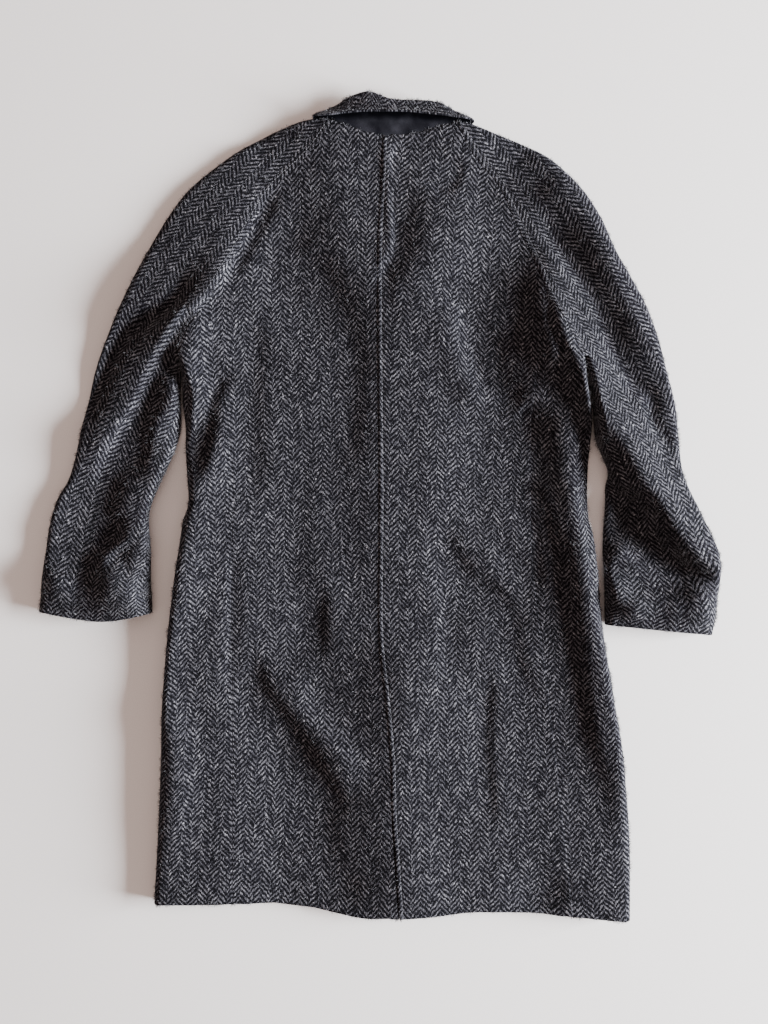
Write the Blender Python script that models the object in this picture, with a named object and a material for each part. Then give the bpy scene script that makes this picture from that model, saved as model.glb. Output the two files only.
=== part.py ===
"""Raglan overcoat in wool herringbone, laid flat with its back up and its collar towards +Y.

Metres, +Z up. Tables are in millimetres, each row a point or a fold, and the origin is on the
floor below the middle of the coat. Each piece of cloth is a wall: a grid of outer points on the
coat's surface, the same grid moved in by the cloth's thickness, and a rim that closes the two.
Two pieces that meet at a seam share that seam's stations, so the gap between them is even.
"""

import math

import bpy
import numpy as np

MM = 0.001

# Driving dimensions, in millimetres
MIDDLE_Y = -2.7  # the middle of the outline, in the tables below; it goes over the frame's origin
CLOTH = 2.6  # overcoating, thickness of a wall
FELT = 1.5  # under-collar
COLLAR_CLOTH = 2.0  # upper collar
SEAM_GAP = 0.4  # between two pieces at a seam, measured along a row
LAYER_GAP = 0.8  # between cloth that lies on cloth
ROLL = 10.0  # how far a folded edge rounds inwards
BODY_HEIGHT = 9.6  # top of the back where it lies on one front
OVERLAP_HEIGHT = 16.0  # top of the back over the buttons and the lapped fronts
SKIRT_OVERLAP_HEIGHT = 12.8  # the same, below the buttons and over the vent's underlap
SIDE_HEIGHT = 18.0  # top near the body's side edges
SLEEVE_HEIGHT = 20.0  # top along the sleeves
NECK_HEIGHT = 18.0  # top at the back neckline
NECK_LIFT = 5.2  # the fronts lie on the turned-down collar here
WELT_RISE = 0.8  # lapped seam allowance at the centre back and raglan seams
WELT_WIDTH = 7.0
WELT_EASE = 3.0  # beside a welt, the cloth comes down over this width
VENT_TOP = -383.0  # Y where the centre vent opens
VENT_UNDERLAP = 40.0
VENT_HEAD = 12.5  # the underlap comes out over this much of the vent's length
FRONT_LAP = 44.0  # each front passes the centre by this much
COLLAR_FOLD = 9.0  # stand and fall together, at the roll line
BUTTON_RADIUS = 11.0
BUTTON_THICKNESS = 3.5
BUTTON_HOLE_RADIUS = 1.3
BUTTON_HOLE_SPREAD = 3.2
BUTTON_Y = (300.0, 185.0, 70.0, -45.0)
BUTTON_LIFT = 5.0  # how high the left front rides over the buttons
BUTTON_RIM = 1.0  # width of the rim's crest
BUTTON_DISH = 0.5  # depth of the face inside the rim
CENTRE_FRONT_X = 12.0
NECK_COLUMNS = (-FRONT_LAP - 4.0, 0.0, FRONT_LAP)  # the front's last lines, past the centre front
POCKET_WELT_HALF = 14.0
COLLAR_GAP = 0.3  # between the upper collar and the under-collar
COLLAR_MARGIN = 0.8  # between the standing collar and the back's neckline
OVERARM_INSET = 12.0  # the overarm seam lies this far in from the sleeve's outer edge
OVERARM_TURN = 38.0  # and turns in by this much more towards the cuff

# How the coat's height changes across it: a stretch's start and its length, from the centre front
OVERLAP_RAMP = (50.0, 75.0)
SIDE_RAMP = (120.0, 115.0)
SLEEVE_RAMP = (230.0, 60.0)
SKIRT_RAMP = (-190.0, 100.0)  # in Y, from the skirt's height up to the height over the buttons
NECK_REACH = 90.0  # the neckline's height fades out this far from it
OVERARM_RAMP = (0.66, 0.25)  # the overarm seam turns in over this share of the sleeve
LEAST_EASE = 2.0  # square millimetres; rounds a hollow's floor where it meets the under layer
FOLD_END = 0.22  # share of a fold's path over which it rises at each end
# The same for the under layer, measured from what it lies on
COLLAR_RAMP = (38.0, 60.0)
POCKET_RAMP = (22.0, 34.0)
BUTTON_STRIP = 36.0  # the ridge over the buttons slopes off over this width
BUTTON_END = (30.0, 60.0)  # and ends this far past the first and last button

# How many cells each stretch of a grid has
RAGLAN_ROWS = 8  # neck to the side-back seam
FLANGE_COLS = 2  # side-back seam to the underarm
BODY_ROWS = 26  # underarm to hem
BACK_COLS = 8
SLEEVE_ROWS = 14  # underarm to cuff
SLEEVE_TOP_COLS = 7
SLEEVE_UNDER_COLS = 5
ROLL_ANGLES = (90.0, 45.0, 0.0, -45.0, -90.0)  # round a folded edge, from its top to its underside
ROLL_STEPS = (0.0, 3.0, WELT_WIDTH, ROLL)  # a sleeve's first columns, from its inner line
LEAST_ROLL = 0.02  # keeps the two halves of a sleeve apart along its folded inner edge
RIGHT_WELT_COLUMNS = (WELT_WIDTH + WELT_EASE, WELT_WIDTH)  # columns beside the centre back seam
LEFT_WELT_COLUMNS = (9.0, 6.0, 3.0)
BACK_SQUEEZE = 0.97  # draws the back's other columns together to make room for those
VENT_STEP = 0.2  # between the columns that step down to the vent's underlap
UNDERARM_STEP = 0.3  # the underarm's last column but one, as a share of the roll
CUFF_ROWS = 4  # rows over which a sleeve takes on the cuff's curve

BUTTON_SIDES = 18
HOLE_SIDES = 6

# The back's seams and edges in plan, X and Y
CENTRE_BACK = ((6, 479), (4, 430), (0, 355), (-1, 300), (1, 0), (1, -175), (9, -250), (16, -330),
               (18, -400), (22, -460), (27, -537))
BACK_NECK_LEFT = ((-60, 497), (-39, 488.5), (-14, 481.5), (6, 479))
BACK_NECK_RIGHT = ((101, 494.5), (80, 488.5), (50, 482), (24, 478.5), (6, 479))
HEM_LEFT = ((-190, -519), (-135, -519), (-95, -524), (-44, -534), (-12, -539), (27, -537))
HEM_RIGHT = ((252, -535), (212, -532), (165, -530), (118, -530), (72, -534), (27, -537))

# Each side's edges and seams in plan. "raglan" runs from the neck to the side-back seam, and
# "armhole" from there to the underarm. "outer" is the shoulder and the sleeve's outer edge.
SIDES = {
    "left": {
        "raglan": ((-60, 497), (-78, 469), (-97, 449), (-137, 413), (-162, 372), (-189, 320), (-222, 258)),
        "armhole": ((-222, 258), (-241, 236), (-258, 203)),
        "side_back": ((-222, 258), (-206, 162), (-194, 85), (-190, 20), (-192, -125), (-190, -325),
                      (-190, -519)),
        "body_edge": ((-258, 203), (-257, 150), (-255, 115), (-252, 55), (-248, 0), (-255, -22),
                      (-260, -60), (-271, -138), (-281, -250), (-286, -395), (-293, -519)),
        "inner": ((-258, 203), (-259, 150), (-259, 110), (-263, 84), (-270, 62), (-288, 22),
                  (-300, -12), (-298, -55), (-298, -110), (-296, -141)),
        "outer": ((-88, 502), (-104, 499), (-131, 489), (-171, 469), (-203, 449), (-250, 410),
                  (-279, 371), (-301, 332), (-340, 253), (-370, 177), (-383, 123), (-397, 58),
                  (-406, 31), (-420, 6), (-429, -24), (-436, -70), (-439, -110), (-443, -139)),
        "cuff": ((-296, -141), (-318, -148), (-354, -152), (-383, -148), (-443, -139)),
        "front_raglan": ((-72, 463), (-125, 400), (-190, 315), (-234, 250), (-258, 203)),
        "front_neck": ((-72, 463), (-62, 440), (-38, 424), (CENTRE_FRONT_X, 414),
                       (CENTRE_FRONT_X + FRONT_LAP, 418)),
        "hem": ((-293, -519), (-190, -519), (-44, -534), (CENTRE_FRONT_X + FRONT_LAP, -535)),
        "opposite_underarm": (-366, 190),
        "pocket": ((-237, -30), (-247, -185)),
        "outward": -1,
    },
    "right": {
        "raglan": ((101, 494.5), (118, 461), (137, 437), (156, 415), (179, 363), (201, 316), (218, 265)),
        "armhole": ((218, 265), (236, 240), (261, 190)),
        "side_back": ((218, 265), (201, 140), (198, 30), (200, -73), (211, -178), (224, -282),
                      (237, -400), (252, -535)),
        "body_edge": ((261, 190), (268, 155), (274, 116), (276, 84), (274, 40), (274, -22),
                      (279, -40), (286, -116), (292, -170), (305, -256), (317, -330), (326, -430),
                      (327, -540)),
        "inner": ((261, 190), (271, 155), (278, 116), (281, 88), (290, 64), (298, 44), (297, 20),
                  (295, -12), (293, -76), (294, -156)),
        "outer": ((125, 492), (150, 484), (190, 469), (225, 449), (265, 410), (290, 371),
                  (307, 332), (350, 253), (374, 175), (386, 128), (391, 75), (396, 38),
                  (418, -12), (440, -65), (443, -94), (440, -121), (434, -170)),
        "cuff": ((294, -156), (362, -163), (434, -170)),
        "front_raglan": ((108, 455), (150, 395), (200, 315), (238, 245), (261, 190)),
        "front_neck": ((108, 455), (95, 434), (60, 420), (CENTRE_FRONT_X, 414),
                       (CENTRE_FRONT_X - FRONT_LAP, 418)),
        "hem": ((327, -540), (252, -535), (118, -530), (56, -535), (CENTRE_FRONT_X - FRONT_LAP, -536)),
        "opposite_underarm": (371, 190),
        "pocket": ((258, -36), (268, -190)),
        "outward": 1,
    },
}

# Folds that shape the upper layer: path in plan, half width, and height above (or below) it.
FOLDS = (
    # left sleeve
    ("elbow_ridge", ((-197, 348), (-208, 294), (-238, 256), (-263, 234), (-301, 174), (-319, 133),
                     (-343, 92), (-373, 49), (-393, -4)), 18, 15),
    ("shoulder_hollow", ((-244, 311), (-271, 261), (-323, 232), (-355, 171), (-377, 100)), 19, -12.5),
    ("elbow_crease", ((-261, 219), (-279, 185), (-300, 144), (-310, 103), (-320, 67), (-345, 20),
                      (-353, -15), (-358, -52), (-376, -100), (-378, -140)), 22, -12.5),
    ("underarm_bulge", ((-274, 178), (-269, 141), (-280, 111), (-283, 69), (-298, 19)), 17, 4),
    ("underarm_crease", ((-265, 201), (-259, 163), (-251, 129), (-259, 82)), 11, -7),
    ("cuff_ridge", ((-367, -86), (-338, -57), (-292, -40)), 15, 12),
    ("cuff_swell", ((-363, -96), (-326, -88), (-300, -64)), 18, 7),
    # left of the body
    ("armhole_ridge", ((-247, 242), (-242, 173), (-237, 141), (-249, 95)), 22, 13),
    ("armhole_crease", ((-206, 183), (-220, 134), (-225, 94), (-243, 50), (-247, 14)), 18, -9),
    ("left_side_puff", ((-204, 141), (-211, 82), (-227, 30), (-238, -21), (-249, -86), (-260, -152),
                        (-266, -229), (-265, -308), (-267, -387), (-275, -499)), 18, 6.5),
    # back
    ("shoulder_crease", ((-129, 401), (-160, 375), (-177, 337), (-193, 294)), 14, -4.5),
    ("blade_hollow_left", ((-102, 393), (-98, 338), (-70, 294), (-52, 249), (-42, 199), (-40, 137),
                           (-42, 43), (-36, -48)), 25, -7),
    ("blade_hollow_right", ((44, 402), (29, 350), (13, 301), (0, 255)), 17, -3.5),
    ("blade_right", ((132, 394), (114, 341), (88, 286), (84, 218)), 30, 7.5),
    ("rib_right", ((112, 281), (104, 217), (101, 145)), 21, 4.5),
    ("skirt_crease_left", ((-169, -187), (-153, -242), (-125, -272), (-102, -307), (-79, -349),
                           (-43, -398)), 21, -6.5),
    ("skirt_ridge_left", ((-116, -205), (-100, -254), (-70, -304), (-30, -355)), 21, 8),
    ("hem_hollow", ((-60, -372), (-60, -443), (-42, -499), (-25, -535)), 28, -5),
    ("skirt_crease_right", ((87, -24), (107, -85), (146, -116), (176, -145), (188, -190), (195, -257)),
     18, -3.5),
    # right of the body
    ("right_side_puff", ((245, 112), (266, 45), (262, 2), (264, -74), (270, -151), (284, -226),
                         (296, -300), (312, -370), (318, -440)), 21, 11.5),
    # right sleeve
    ("long_ridge", ((203, 365), (208, 324), (220, 271), (240, 214), (267, 165), (290, 116), (313, 68),
                    (341, 21), (378, -30), (440, -98)), 30, 18.5),
    ("below_ridge_hollow", ((199, 298), (203, 239), (222, 177), (256, 115), (298, 60), (332, 0),
                            (370, -63), (436, -109)), 21, -14.5),
    ("outer_ridge", ((223, 443), (259, 388), (287, 337), (309, 277), (336, 222), (362, 174)), 16, 4),
    ("outer_hollow", ((207, 412), (231, 363), (260, 314), (288, 264), (312, 211), (340, 143)), 19, -8.5),
    ("elbow_pinch", ((320, 171), (349, 131), (364, 99), (393, 65)), 13, -4.5),
    ("forearm_swell", ((327, -47), (308, -84), (320, -125), (350, -150)), 17, 5),
)


# --- curves, distances and heights -----------------------------------------------------------


def unit(vectors):
    return vectors / np.maximum(np.linalg.norm(vectors, axis=-1, keepdims=True), 1e-12)


def blend(first, last, start, end, t):
    """What lies at t on the straight way from first, at start, to last, at end."""
    return (first * (end - t) + last * (t - start)) / (end - start)


def smooth_curve(points, samples=400):
    """A Catmull-Rom curve through the points, with the points spaced by their chords."""
    p = np.asarray(points, float)
    p = np.vstack([2 * p[0] - p[1], p, 2 * p[-1] - p[-2]])
    knots = np.concatenate([[0], np.cumsum(np.sqrt(np.linalg.norm(np.diff(p, axis=0), axis=1)))])
    out = []
    for t in np.linspace(knots[1], knots[-2], samples):
        i = int(np.clip(np.searchsorted(knots, t, side="right") - 1, 1, len(p) - 3))
        k, q = knots[i - 1 : i + 3], p[i - 1 : i + 3]
        a = [blend(q[j], q[j + 1], k[j], k[j + 1], t) for j in range(3)]
        b = [blend(a[j], a[j + 1], k[j], k[j + 2], t) for j in range(2)]
        out.append(blend(b[0], b[1], k[1], k[2], t))
    return np.array(out)


def stations(points, shares):
    """Points at the given shares of a smooth curve's length."""
    curve = smooth_curve(points)
    length = np.concatenate([[0], np.cumsum(np.linalg.norm(np.diff(curve, axis=0), axis=1))])
    wanted = np.asarray(shares, float) * length[-1]
    return np.stack([np.interp(wanted, length, curve[:, k]) for k in range(2)], axis=1)


def at_x(points, x):
    """Points of a smooth curve at the given X."""
    curve = smooth_curve(points)
    order = np.argsort(curve[:, 0])
    return np.stack([x, np.interp(x, curve[order, 0], curve[order, 1])], axis=1)


def even(count):
    return np.linspace(0.0, 1.0, count + 1)


def ease(x):
    x = np.clip(x, 0.0, 1.0)
    return x * x * (3 - 2 * x)


def ramp(x, stretch):
    """Rises from 0 to 1 over a stretch, given as its start and its length."""
    return ease((x - stretch[0]) / stretch[1])


def path_distance(path, xy):
    """Each point's distance from a path, and its share of the way along it."""
    path = np.asarray(path, float)
    xy = np.asarray(xy, float)
    lengths = np.linalg.norm(np.diff(path, axis=0), axis=1)
    done = np.concatenate([[0], np.cumsum(lengths)])
    best = np.full(xy.shape[:-1], np.inf)
    share = np.zeros(xy.shape[:-1])
    for i, length in enumerate(lengths):
        step = path[i + 1] - path[i]
        t = np.clip(((xy - path[i]) @ step) / length**2, 0, 1)
        d = np.linalg.norm(xy - (path[i] + t[..., None] * step), axis=-1)
        nearer = d < best
        best = np.where(nearer, d, best)
        share = np.where(nearer, (done[i] + t * length) / done[-1], share)
    return best, share


def height(xy):
    """The top of the upper layer, in millimetres above the floor."""
    x, y = xy[..., 0], xy[..., 1]
    across = np.abs(x - CENTRE_FRONT_X)
    overlap = SKIRT_OVERLAP_HEIGHT + (OVERLAP_HEIGHT - SKIRT_OVERLAP_HEIGHT) * ramp(y, SKIRT_RAMP)
    z = BODY_HEIGHT + (overlap - BODY_HEIGHT) * (1 - ramp(across, OVERLAP_RAMP))
    z = z + (SIDE_HEIGHT - BODY_HEIGHT) * ramp(across, SIDE_RAMP)
    z = z + (SLEEVE_HEIGHT - SIDE_HEIGHT) * ramp(across, SLEEVE_RAMP)
    neckline = (SIDES["left"]["outer"][0], BACK_NECK_LEFT[-1], SIDES["right"]["outer"][0])
    from_neck, _ = path_distance(neckline, xy)
    z = z + (NECK_HEIGHT - z) * ease(1 - from_neck / NECK_REACH)
    for _, path, half_width, rise in FOLDS:
        distance, share = path_distance(path, xy)
        ends = ease(share / FOLD_END) * ease((1 - share) / FOLD_END)
        z = z + rise * np.exp(-((distance / half_width) ** 2)) * ends
    lapped = (CLOTH + LAYER_GAP) * (1 - ramp(across, OVERLAP_RAMP))
    least = lift(xy) + 2 * CLOTH + LAYER_GAP + lapped
    return least + (z - least + np.sqrt((z - least) ** 2 + LEAST_EASE)) / 2


def lift(xy):
    """How far the under layer stands off the floor, over the collar, the buttons and the pockets."""
    neck = np.vstack([SIDES["left"]["front_neck"][:4], SIDES["right"]["front_neck"][2::-1]])
    neck = np.vstack([SIDES["left"]["outer"][0], neck, SIDES["right"]["outer"][0]])
    z = NECK_LIFT * (1 - ramp(path_distance(neck, xy)[0], COLLAR_RAMP))
    strip = 1 - (np.abs(xy[..., 0] - CENTRE_FRONT_X) - 1) / BUTTON_STRIP
    above, below = xy[..., 1] - max(BUTTON_Y), min(BUTTON_Y) - xy[..., 1]
    ends = 1 - ramp(np.maximum(above, below), BUTTON_END)
    z = np.maximum(z, BUTTON_LIFT * np.clip(strip, 0, 1) * ends)
    for side in SIDES.values():
        from_pocket, _ = path_distance(side["pocket"], xy)
        z = np.maximum(z, (CLOTH + LAYER_GAP) * (1 - ramp(from_pocket, POCKET_RAMP)))
    return z


def gradient(field, xy, step=4.0):
    dx, dy = np.array([step, 0.0]), np.array([0.0, step])
    return np.stack(
        [(field(xy + dx) - field(xy - dx)) / (2 * step), (field(xy + dy) - field(xy - dy)) / (2 * step)],
        axis=-1,
    )


# --- grids of points ---------------------------------------------------------------------------


def surface(xy, layer, roll=None, inward=None, raised=0.0):
    """Outer points and inner points over a plan grid.

    layer is "top" or "under". roll is how far the point has come up the rounded edge, from 0 on
    its outermost line to 1 past it, and inward is the plan direction in from that edge.
    """
    f = np.ones(xy.shape[:-1]) if roll is None else roll
    inward = np.zeros_like(xy) if inward is None else inward
    h = height(xy)
    slope = gradient(height, xy)
    across = np.sqrt(np.maximum(0.0, 1 - f**2))[..., None]
    side = -inward * (h[..., None] / 2) * across / ROLL
    f = f[..., None]
    if layer == "top":
        z = h / 2 * (1 + f[..., 0]) + raised * f[..., 0]
        normal = np.concatenate([-f * slope * (1 + f) / 2 + side, f], axis=-1)
    else:
        up = lift(xy) + raised
        z = h / 2 * (1 - f[..., 0]) + up * f[..., 0]
        under = f * (slope * (1 - f) / 2 + gradient(lift, xy) * f)
        normal = np.concatenate([under + side, -f], axis=-1)
    outer = np.concatenate([xy, z[..., None]], axis=-1)
    return outer, outer - CLOTH * unit(normal)


def coons(left, right, top, bottom):
    """A plan grid, rows by columns, that fits its four edges."""
    rows, cols = len(left), len(top)

    def shares(a, b):
        steps = np.linalg.norm(np.diff(a, axis=0), axis=1) + np.linalg.norm(np.diff(b, axis=0), axis=1)
        return np.concatenate([[0], np.cumsum(steps)]) / steps.sum()

    v = shares(left, right).reshape(rows, 1, 1)
    u = shares(top, bottom).reshape(1, cols, 1)
    sides = (1 - u) * left[:, None] + u * right[:, None]
    ends = (1 - v) * top[None] + v * bottom[None]
    high = (1 - u) * left[0] + u * right[0]
    low = (1 - u) * left[-1] + u * right[-1]
    return sides + ends - ((1 - v) * high + v * low)


def drawn_in(xy, edges):
    """The plan grid with the named edges moved in by half a seam gap."""
    xy = xy.copy()
    half = SEAM_GAP / 2
    for edge in edges:
        if edge == "first_col":
            xy[:, 0] += half * unit(xy[:, 1] - xy[:, 0])
        elif edge == "last_col":
            xy[:, -1] += half * unit(xy[:, -2] - xy[:, -1])
        elif edge == "first_row":
            xy[0] += half * unit(xy[1] - xy[0])
    return xy


def body_shares():
    """Row shares below the underarm: even, but for two rows at the head of the vent."""
    shares = even(BODY_ROWS)
    top, bottom = SIDES["left"]["side_back"][0][1], SIDES["left"]["side_back"][-1][1]
    vent = (top - VENT_TOP) / (top - bottom)
    nearest = int(np.argmin(np.abs(shares - vent)))
    shares[nearest] = vent
    shares[nearest + 1] = vent + VENT_HEAD / (top - bottom)
    return shares, nearest


BODY_SHARES, VENT_ROW = body_shares()


def side_stations(side):
    """The stations along one side's seams, shared by the pieces that meet there."""
    table = SIDES[side]
    return {
        "raglan": stations(table["raglan"], even(RAGLAN_ROWS)),
        "armhole": stations(table["armhole"], even(FLANGE_COLS)),
        "side_back": stations(table["side_back"], BODY_SHARES),
        "front_raglan": stations(table["front_raglan"], even(RAGLAN_ROWS + FLANGE_COLS)),
    }


# --- pieces of cloth ---------------------------------------------------------------------------


def material(name, colour, roughness):
    made = bpy.data.materials.new(name)
    made.use_nodes = True
    shader = made.node_tree.nodes["Principled BSDF"]
    shader.inputs["Base Color"].default_value = (*colour, 1.0)
    shader.inputs["Roughness"].default_value = roughness
    shader.inputs["Metallic"].default_value = 0.0
    made.diffuse_color = (*colour, 1.0)
    return made


def wall(name, outer, inner, finish):
    """One closed piece between two grids of points, with its faces pointing out."""
    rows, cols = outer.shape[:2]
    points = (np.concatenate([outer.reshape(-1, 3), inner.reshape(-1, 3)]) - (0.0, MIDDLE_Y, 0.0)) * MM
    index = np.arange(rows * cols).reshape(rows, cols)
    under = index + rows * cols
    a, b, c, d = index[:-1, :-1], index[1:, :-1], index[1:, 1:], index[:-1, 1:]
    faces = np.stack([a, b, c, d], axis=-1).reshape(-1, 4).tolist()
    faces += (np.stack([a, d, c, b], axis=-1).reshape(-1, 4) + rows * cols).tolist()
    rim = np.concatenate([index[:, 0], index[-1, 1:], index[-2::-1, -1], index[0, -2:0:-1]])
    for k, first in enumerate(rim):
        second = rim[(k + 1) % len(rim)]
        faces.append([int(second), int(first), int(first) + rows * cols, int(second) + rows * cols])
    centre = points.mean(axis=0)
    volume = 0.0
    for face in faces:
        q = points[face] - centre
        volume += np.dot(q[0], np.cross(q[1], q[2])) + np.dot(q[0], np.cross(q[2], q[3]))
    if volume < 0:
        faces = [face[::-1] for face in faces]
    mesh = bpy.data.meshes.new(name)
    mesh.from_pydata(points.tolist(), [], faces)
    mesh.materials.append(finish)
    mesh.shade_smooth()
    mesh.set_sharp_from_angle(angle=math.radians(50))
    piece = bpy.data.objects.new(name, mesh)
    bpy.context.scene.collection.objects.link(piece)
    return piece


def back_panel(side, finish):
    """Half of the back: neckline, raglan seam, side-back seam, hem and centre seam."""
    seams = side_stations(side)
    left = np.vstack([seams["raglan"], seams["side_back"][1:]])
    down = np.linalg.norm(np.diff(left, axis=0), axis=1)
    centre = stations(CENTRE_BACK, np.concatenate([[0], np.cumsum(down)]) / down.sum())
    neck = stations(BACK_NECK_LEFT if side == "left" else BACK_NECK_RIGHT, even(BACK_COLS))
    hem = stations(HEM_LEFT if side == "left" else HEM_RIGHT, even(BACK_COLS))
    columns = LEFT_WELT_COLUMNS if side == "left" else RIGHT_WELT_COLUMNS
    along_neck = unit(neck[-2] - neck[-1])
    grid = coons(left, centre, neck, hem)
    level = np.tile([np.sign(along_neck[0]), 0.0], (len(grid), 1))
    level[0] = along_neck
    near = np.stack([grid[:, -1] + level * width for width in columns], axis=1)
    squeezed = grid[:, :1] + (grid[:, :-1] - grid[:, :1]) * BACK_SQUEEZE
    grid = np.concatenate([squeezed, near, grid[:, -1:]], axis=1)
    grid = drawn_in(grid, ("first_col", "last_col"))
    raised = np.zeros(grid.shape[:2])
    if side == "right":
        raised[:, -2:] = WELT_RISE
        return wall("back_right", *surface(grid, "top", raised=raised), finish)
    opened = RAGLAN_ROWS + VENT_ROW
    raised[opened:, -3:] = -(CLOTH + LAYER_GAP)
    grid[opened:, -3] = grid[opened:, -1] - [2 * VENT_STEP, 0]
    grid[opened, -2] = grid[opened, -1] - [VENT_STEP, 0]
    grid[opened + 1 :, -2] = grid[opened + 1 :, -1] + [VENT_UNDERLAP / 2, 0]
    grid[opened + 1 :, -1] += [VENT_UNDERLAP, 0]
    return wall("back_left", *surface(grid, "top", raised=raised), finish)


def front_panel(side, finish):
    """One front: from the side-back seam round the side edge and beneath to the front edge."""
    table, seams = SIDES[side], side_stations(side)
    out = table["outward"]
    edge = stations(table["body_edge"], BODY_SHARES)
    angles = np.radians(ROLL_ANGLES)
    inward = np.zeros((len(edge), 2)) + [-out, 0.0]
    rolled = edge[:, None] + inward[:, None] * ROLL * (1 - np.cos(angles))[None, :, None]
    rolled[0] = edge[0]
    to_seam = seams["side_back"][-1] - rolled[-1, 0]
    flange_hem = rolled[-1, 0] + to_seam * (1 - even(FLANGE_COLS))[:, None]
    flange = coons(seams["side_back"], rolled[:, 0], seams["armhole"], flange_hem)
    front_edge = np.array([table["front_neck"][-1], table["hem"][-1]], float)
    front_edge = front_edge[0] + (front_edge[1] - front_edge[0]) * BODY_SHARES[:, None]
    centre_x = CENTRE_FRONT_X - out * np.array(NECK_COLUMNS)
    neck = at_x(table["front_neck"], centre_x)
    top = np.vstack([seams["front_raglan"][::-1], neck])
    panel_x = np.linspace(rolled[-1, -1, 0], seams["front_raglan"][0, 0], RAGLAN_ROWS + FLANGE_COLS + 1)
    hem = at_x(table["hem"], np.concatenate([panel_x, centre_x]))
    beneath = coons(rolled[:, -1], front_edge, top, hem)
    beneath[:, -len(NECK_COLUMNS) :, 0] = centre_x
    xy = np.concatenate([flange, rolled[:, 1:-1], beneath], axis=1)
    xy = drawn_in(xy, ("first_col", "first_row"))
    first, last = FLANGE_COLS, FLANGE_COLS + len(angles) - 1
    xy[0, first : last + 1] = edge[0] - [out * SEAM_GAP / 2, 0.0]
    roll = np.ones(xy.shape[:2])
    roll[:, first : last + 1] = np.abs(np.sin(angles))
    inward = np.zeros_like(xy) + [-out, 0.0]
    middle = first + ROLL_ANGLES.index(0.0)
    raised = np.zeros(xy.shape[:2])
    if side == "right":
        raised[:, -len(NECK_COLUMNS) :] = CLOTH + LAYER_GAP
    above, below = np.s_[:, : middle + 1], np.s_[:, middle + 1 :]
    parts = (
        surface(xy[above], "top", roll[above], inward[above]),
        surface(xy[below], "under", roll[below], inward[below], raised[below]),
    )
    outer = np.concatenate([part[0] for part in parts], axis=1)
    inner = np.concatenate([part[1] for part in parts], axis=1)
    return wall(f"front_{side}", outer, inner, finish)


def sleeve_frame(side):
    """The sleeve's stations from neck to cuff: its inner line above and beneath, its outer line, and
    how far each row's inner end has come down the fold at the underarm, as an angle.
    """
    table, seams = SIDES[side], side_stations(side)
    above = np.vstack([seams["raglan"], seams["armhole"][1:]])
    under = seams["front_raglan"]
    inner = stations(table["inner"], even(SLEEVE_ROWS))
    underarm = above[-1:]
    top_line = np.vstack([above, underarm, underarm, inner[1:]])
    low_line = np.vstack([under, underarm, underarm, inner[1:]])
    outer_curve = smooth_curve(table["outer"])
    opposite = int(np.argmin(np.linalg.norm(outer_curve - table["opposite_underarm"], axis=1)))
    length = np.concatenate([[0], np.cumsum(np.linalg.norm(np.diff(outer_curve, axis=0), axis=1))])
    split = length[opposite] / length[-1]
    shares = np.concatenate([even(len(above) - 1) * split, split + (1 - split) * even(2 + SLEEVE_ROWS)[1:]])
    outer_line = stations(table["outer"], shares)
    start = np.concatenate([np.full(len(above), 90.0), [45.0], np.zeros(SLEEVE_ROWS + 1)])
    return top_line, low_line, outer_line, np.radians(start)


def overarm_inset():
    """How far in from the outer edge the overarm seam runs on the back, row by row."""
    rows = RAGLAN_ROWS + FLANGE_COLS + 3 + SLEEVE_ROWS
    return OVERARM_INSET + OVERARM_TURN * ramp(np.linspace(0, 1, rows), OVERARM_RAMP)


def across_sleeve(width, inset):
    """Distances from the inner line to the overarm seam: the roll's steps, then even ones."""
    last = width - inset
    near = np.array(ROLL_STEPS) * np.minimum(1.0, last / (2 * ROLL))[:, None]
    spread = near[:, -1:] + (last[:, None] - near[:, -1:]) * even(SLEEVE_TOP_COLS)[None, 1:]
    return np.concatenate([near, spread], axis=1)


def roll_share(distance, start_angle):
    left_to_go = np.maximum(0.0, ROLL * np.cos(start_angle) - distance) / ROLL
    return np.maximum(LEAST_ROLL, np.sqrt(np.maximum(0.0, 1 - left_to_go**2)))


def cuff_shear(side, xy, line_share):
    """Moves the last rows so that the sleeve ends on the cuff's curve."""
    cuff = smooth_curve(SIDES[side]["cuff"])
    along = even(len(cuff) - 1)
    sag = cuff[:, 1] - (cuff[0, 1] + (cuff[-1, 1] - cuff[0, 1]) * along)
    rows = len(xy)
    weight = ease((np.arange(rows) - (rows - 1 - CUFF_ROWS)) / CUFF_ROWS)[:, None]
    xy[..., 1] += np.interp(line_share[-1], along, sag)[None] * weight
    return xy


def sleeve_back(side, finish):
    """The raglan sleeve's back half: raglan and underarm seam to the overarm seam."""
    top_line, _, outer_line, start = sleeve_frame(side)
    inset = overarm_inset()
    width = np.linalg.norm(outer_line - top_line, axis=1)
    distance = across_sleeve(width, inset)
    outward = unit(outer_line - top_line)[:, None]
    xy = top_line[:, None] + outward * distance[..., None]
    xy = cuff_shear(side, xy, distance / width[:, None])
    xy = drawn_in(xy, ("first_col", "last_col"))
    from_outer = width[:, None] - distance
    raised = WELT_RISE * (distance < WELT_WIDTH + WELT_EASE / 2) * np.sin(start)[:, None]
    roll = np.minimum(roll_share(distance, start[:, None]), roll_share(from_outer, 0.0))
    inward = np.where((from_outer < distance)[..., None], -outward, outward)
    return wall(f"sleeve_back_{side}", *surface(xy, "top", roll, inward, raised), finish)


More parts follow.
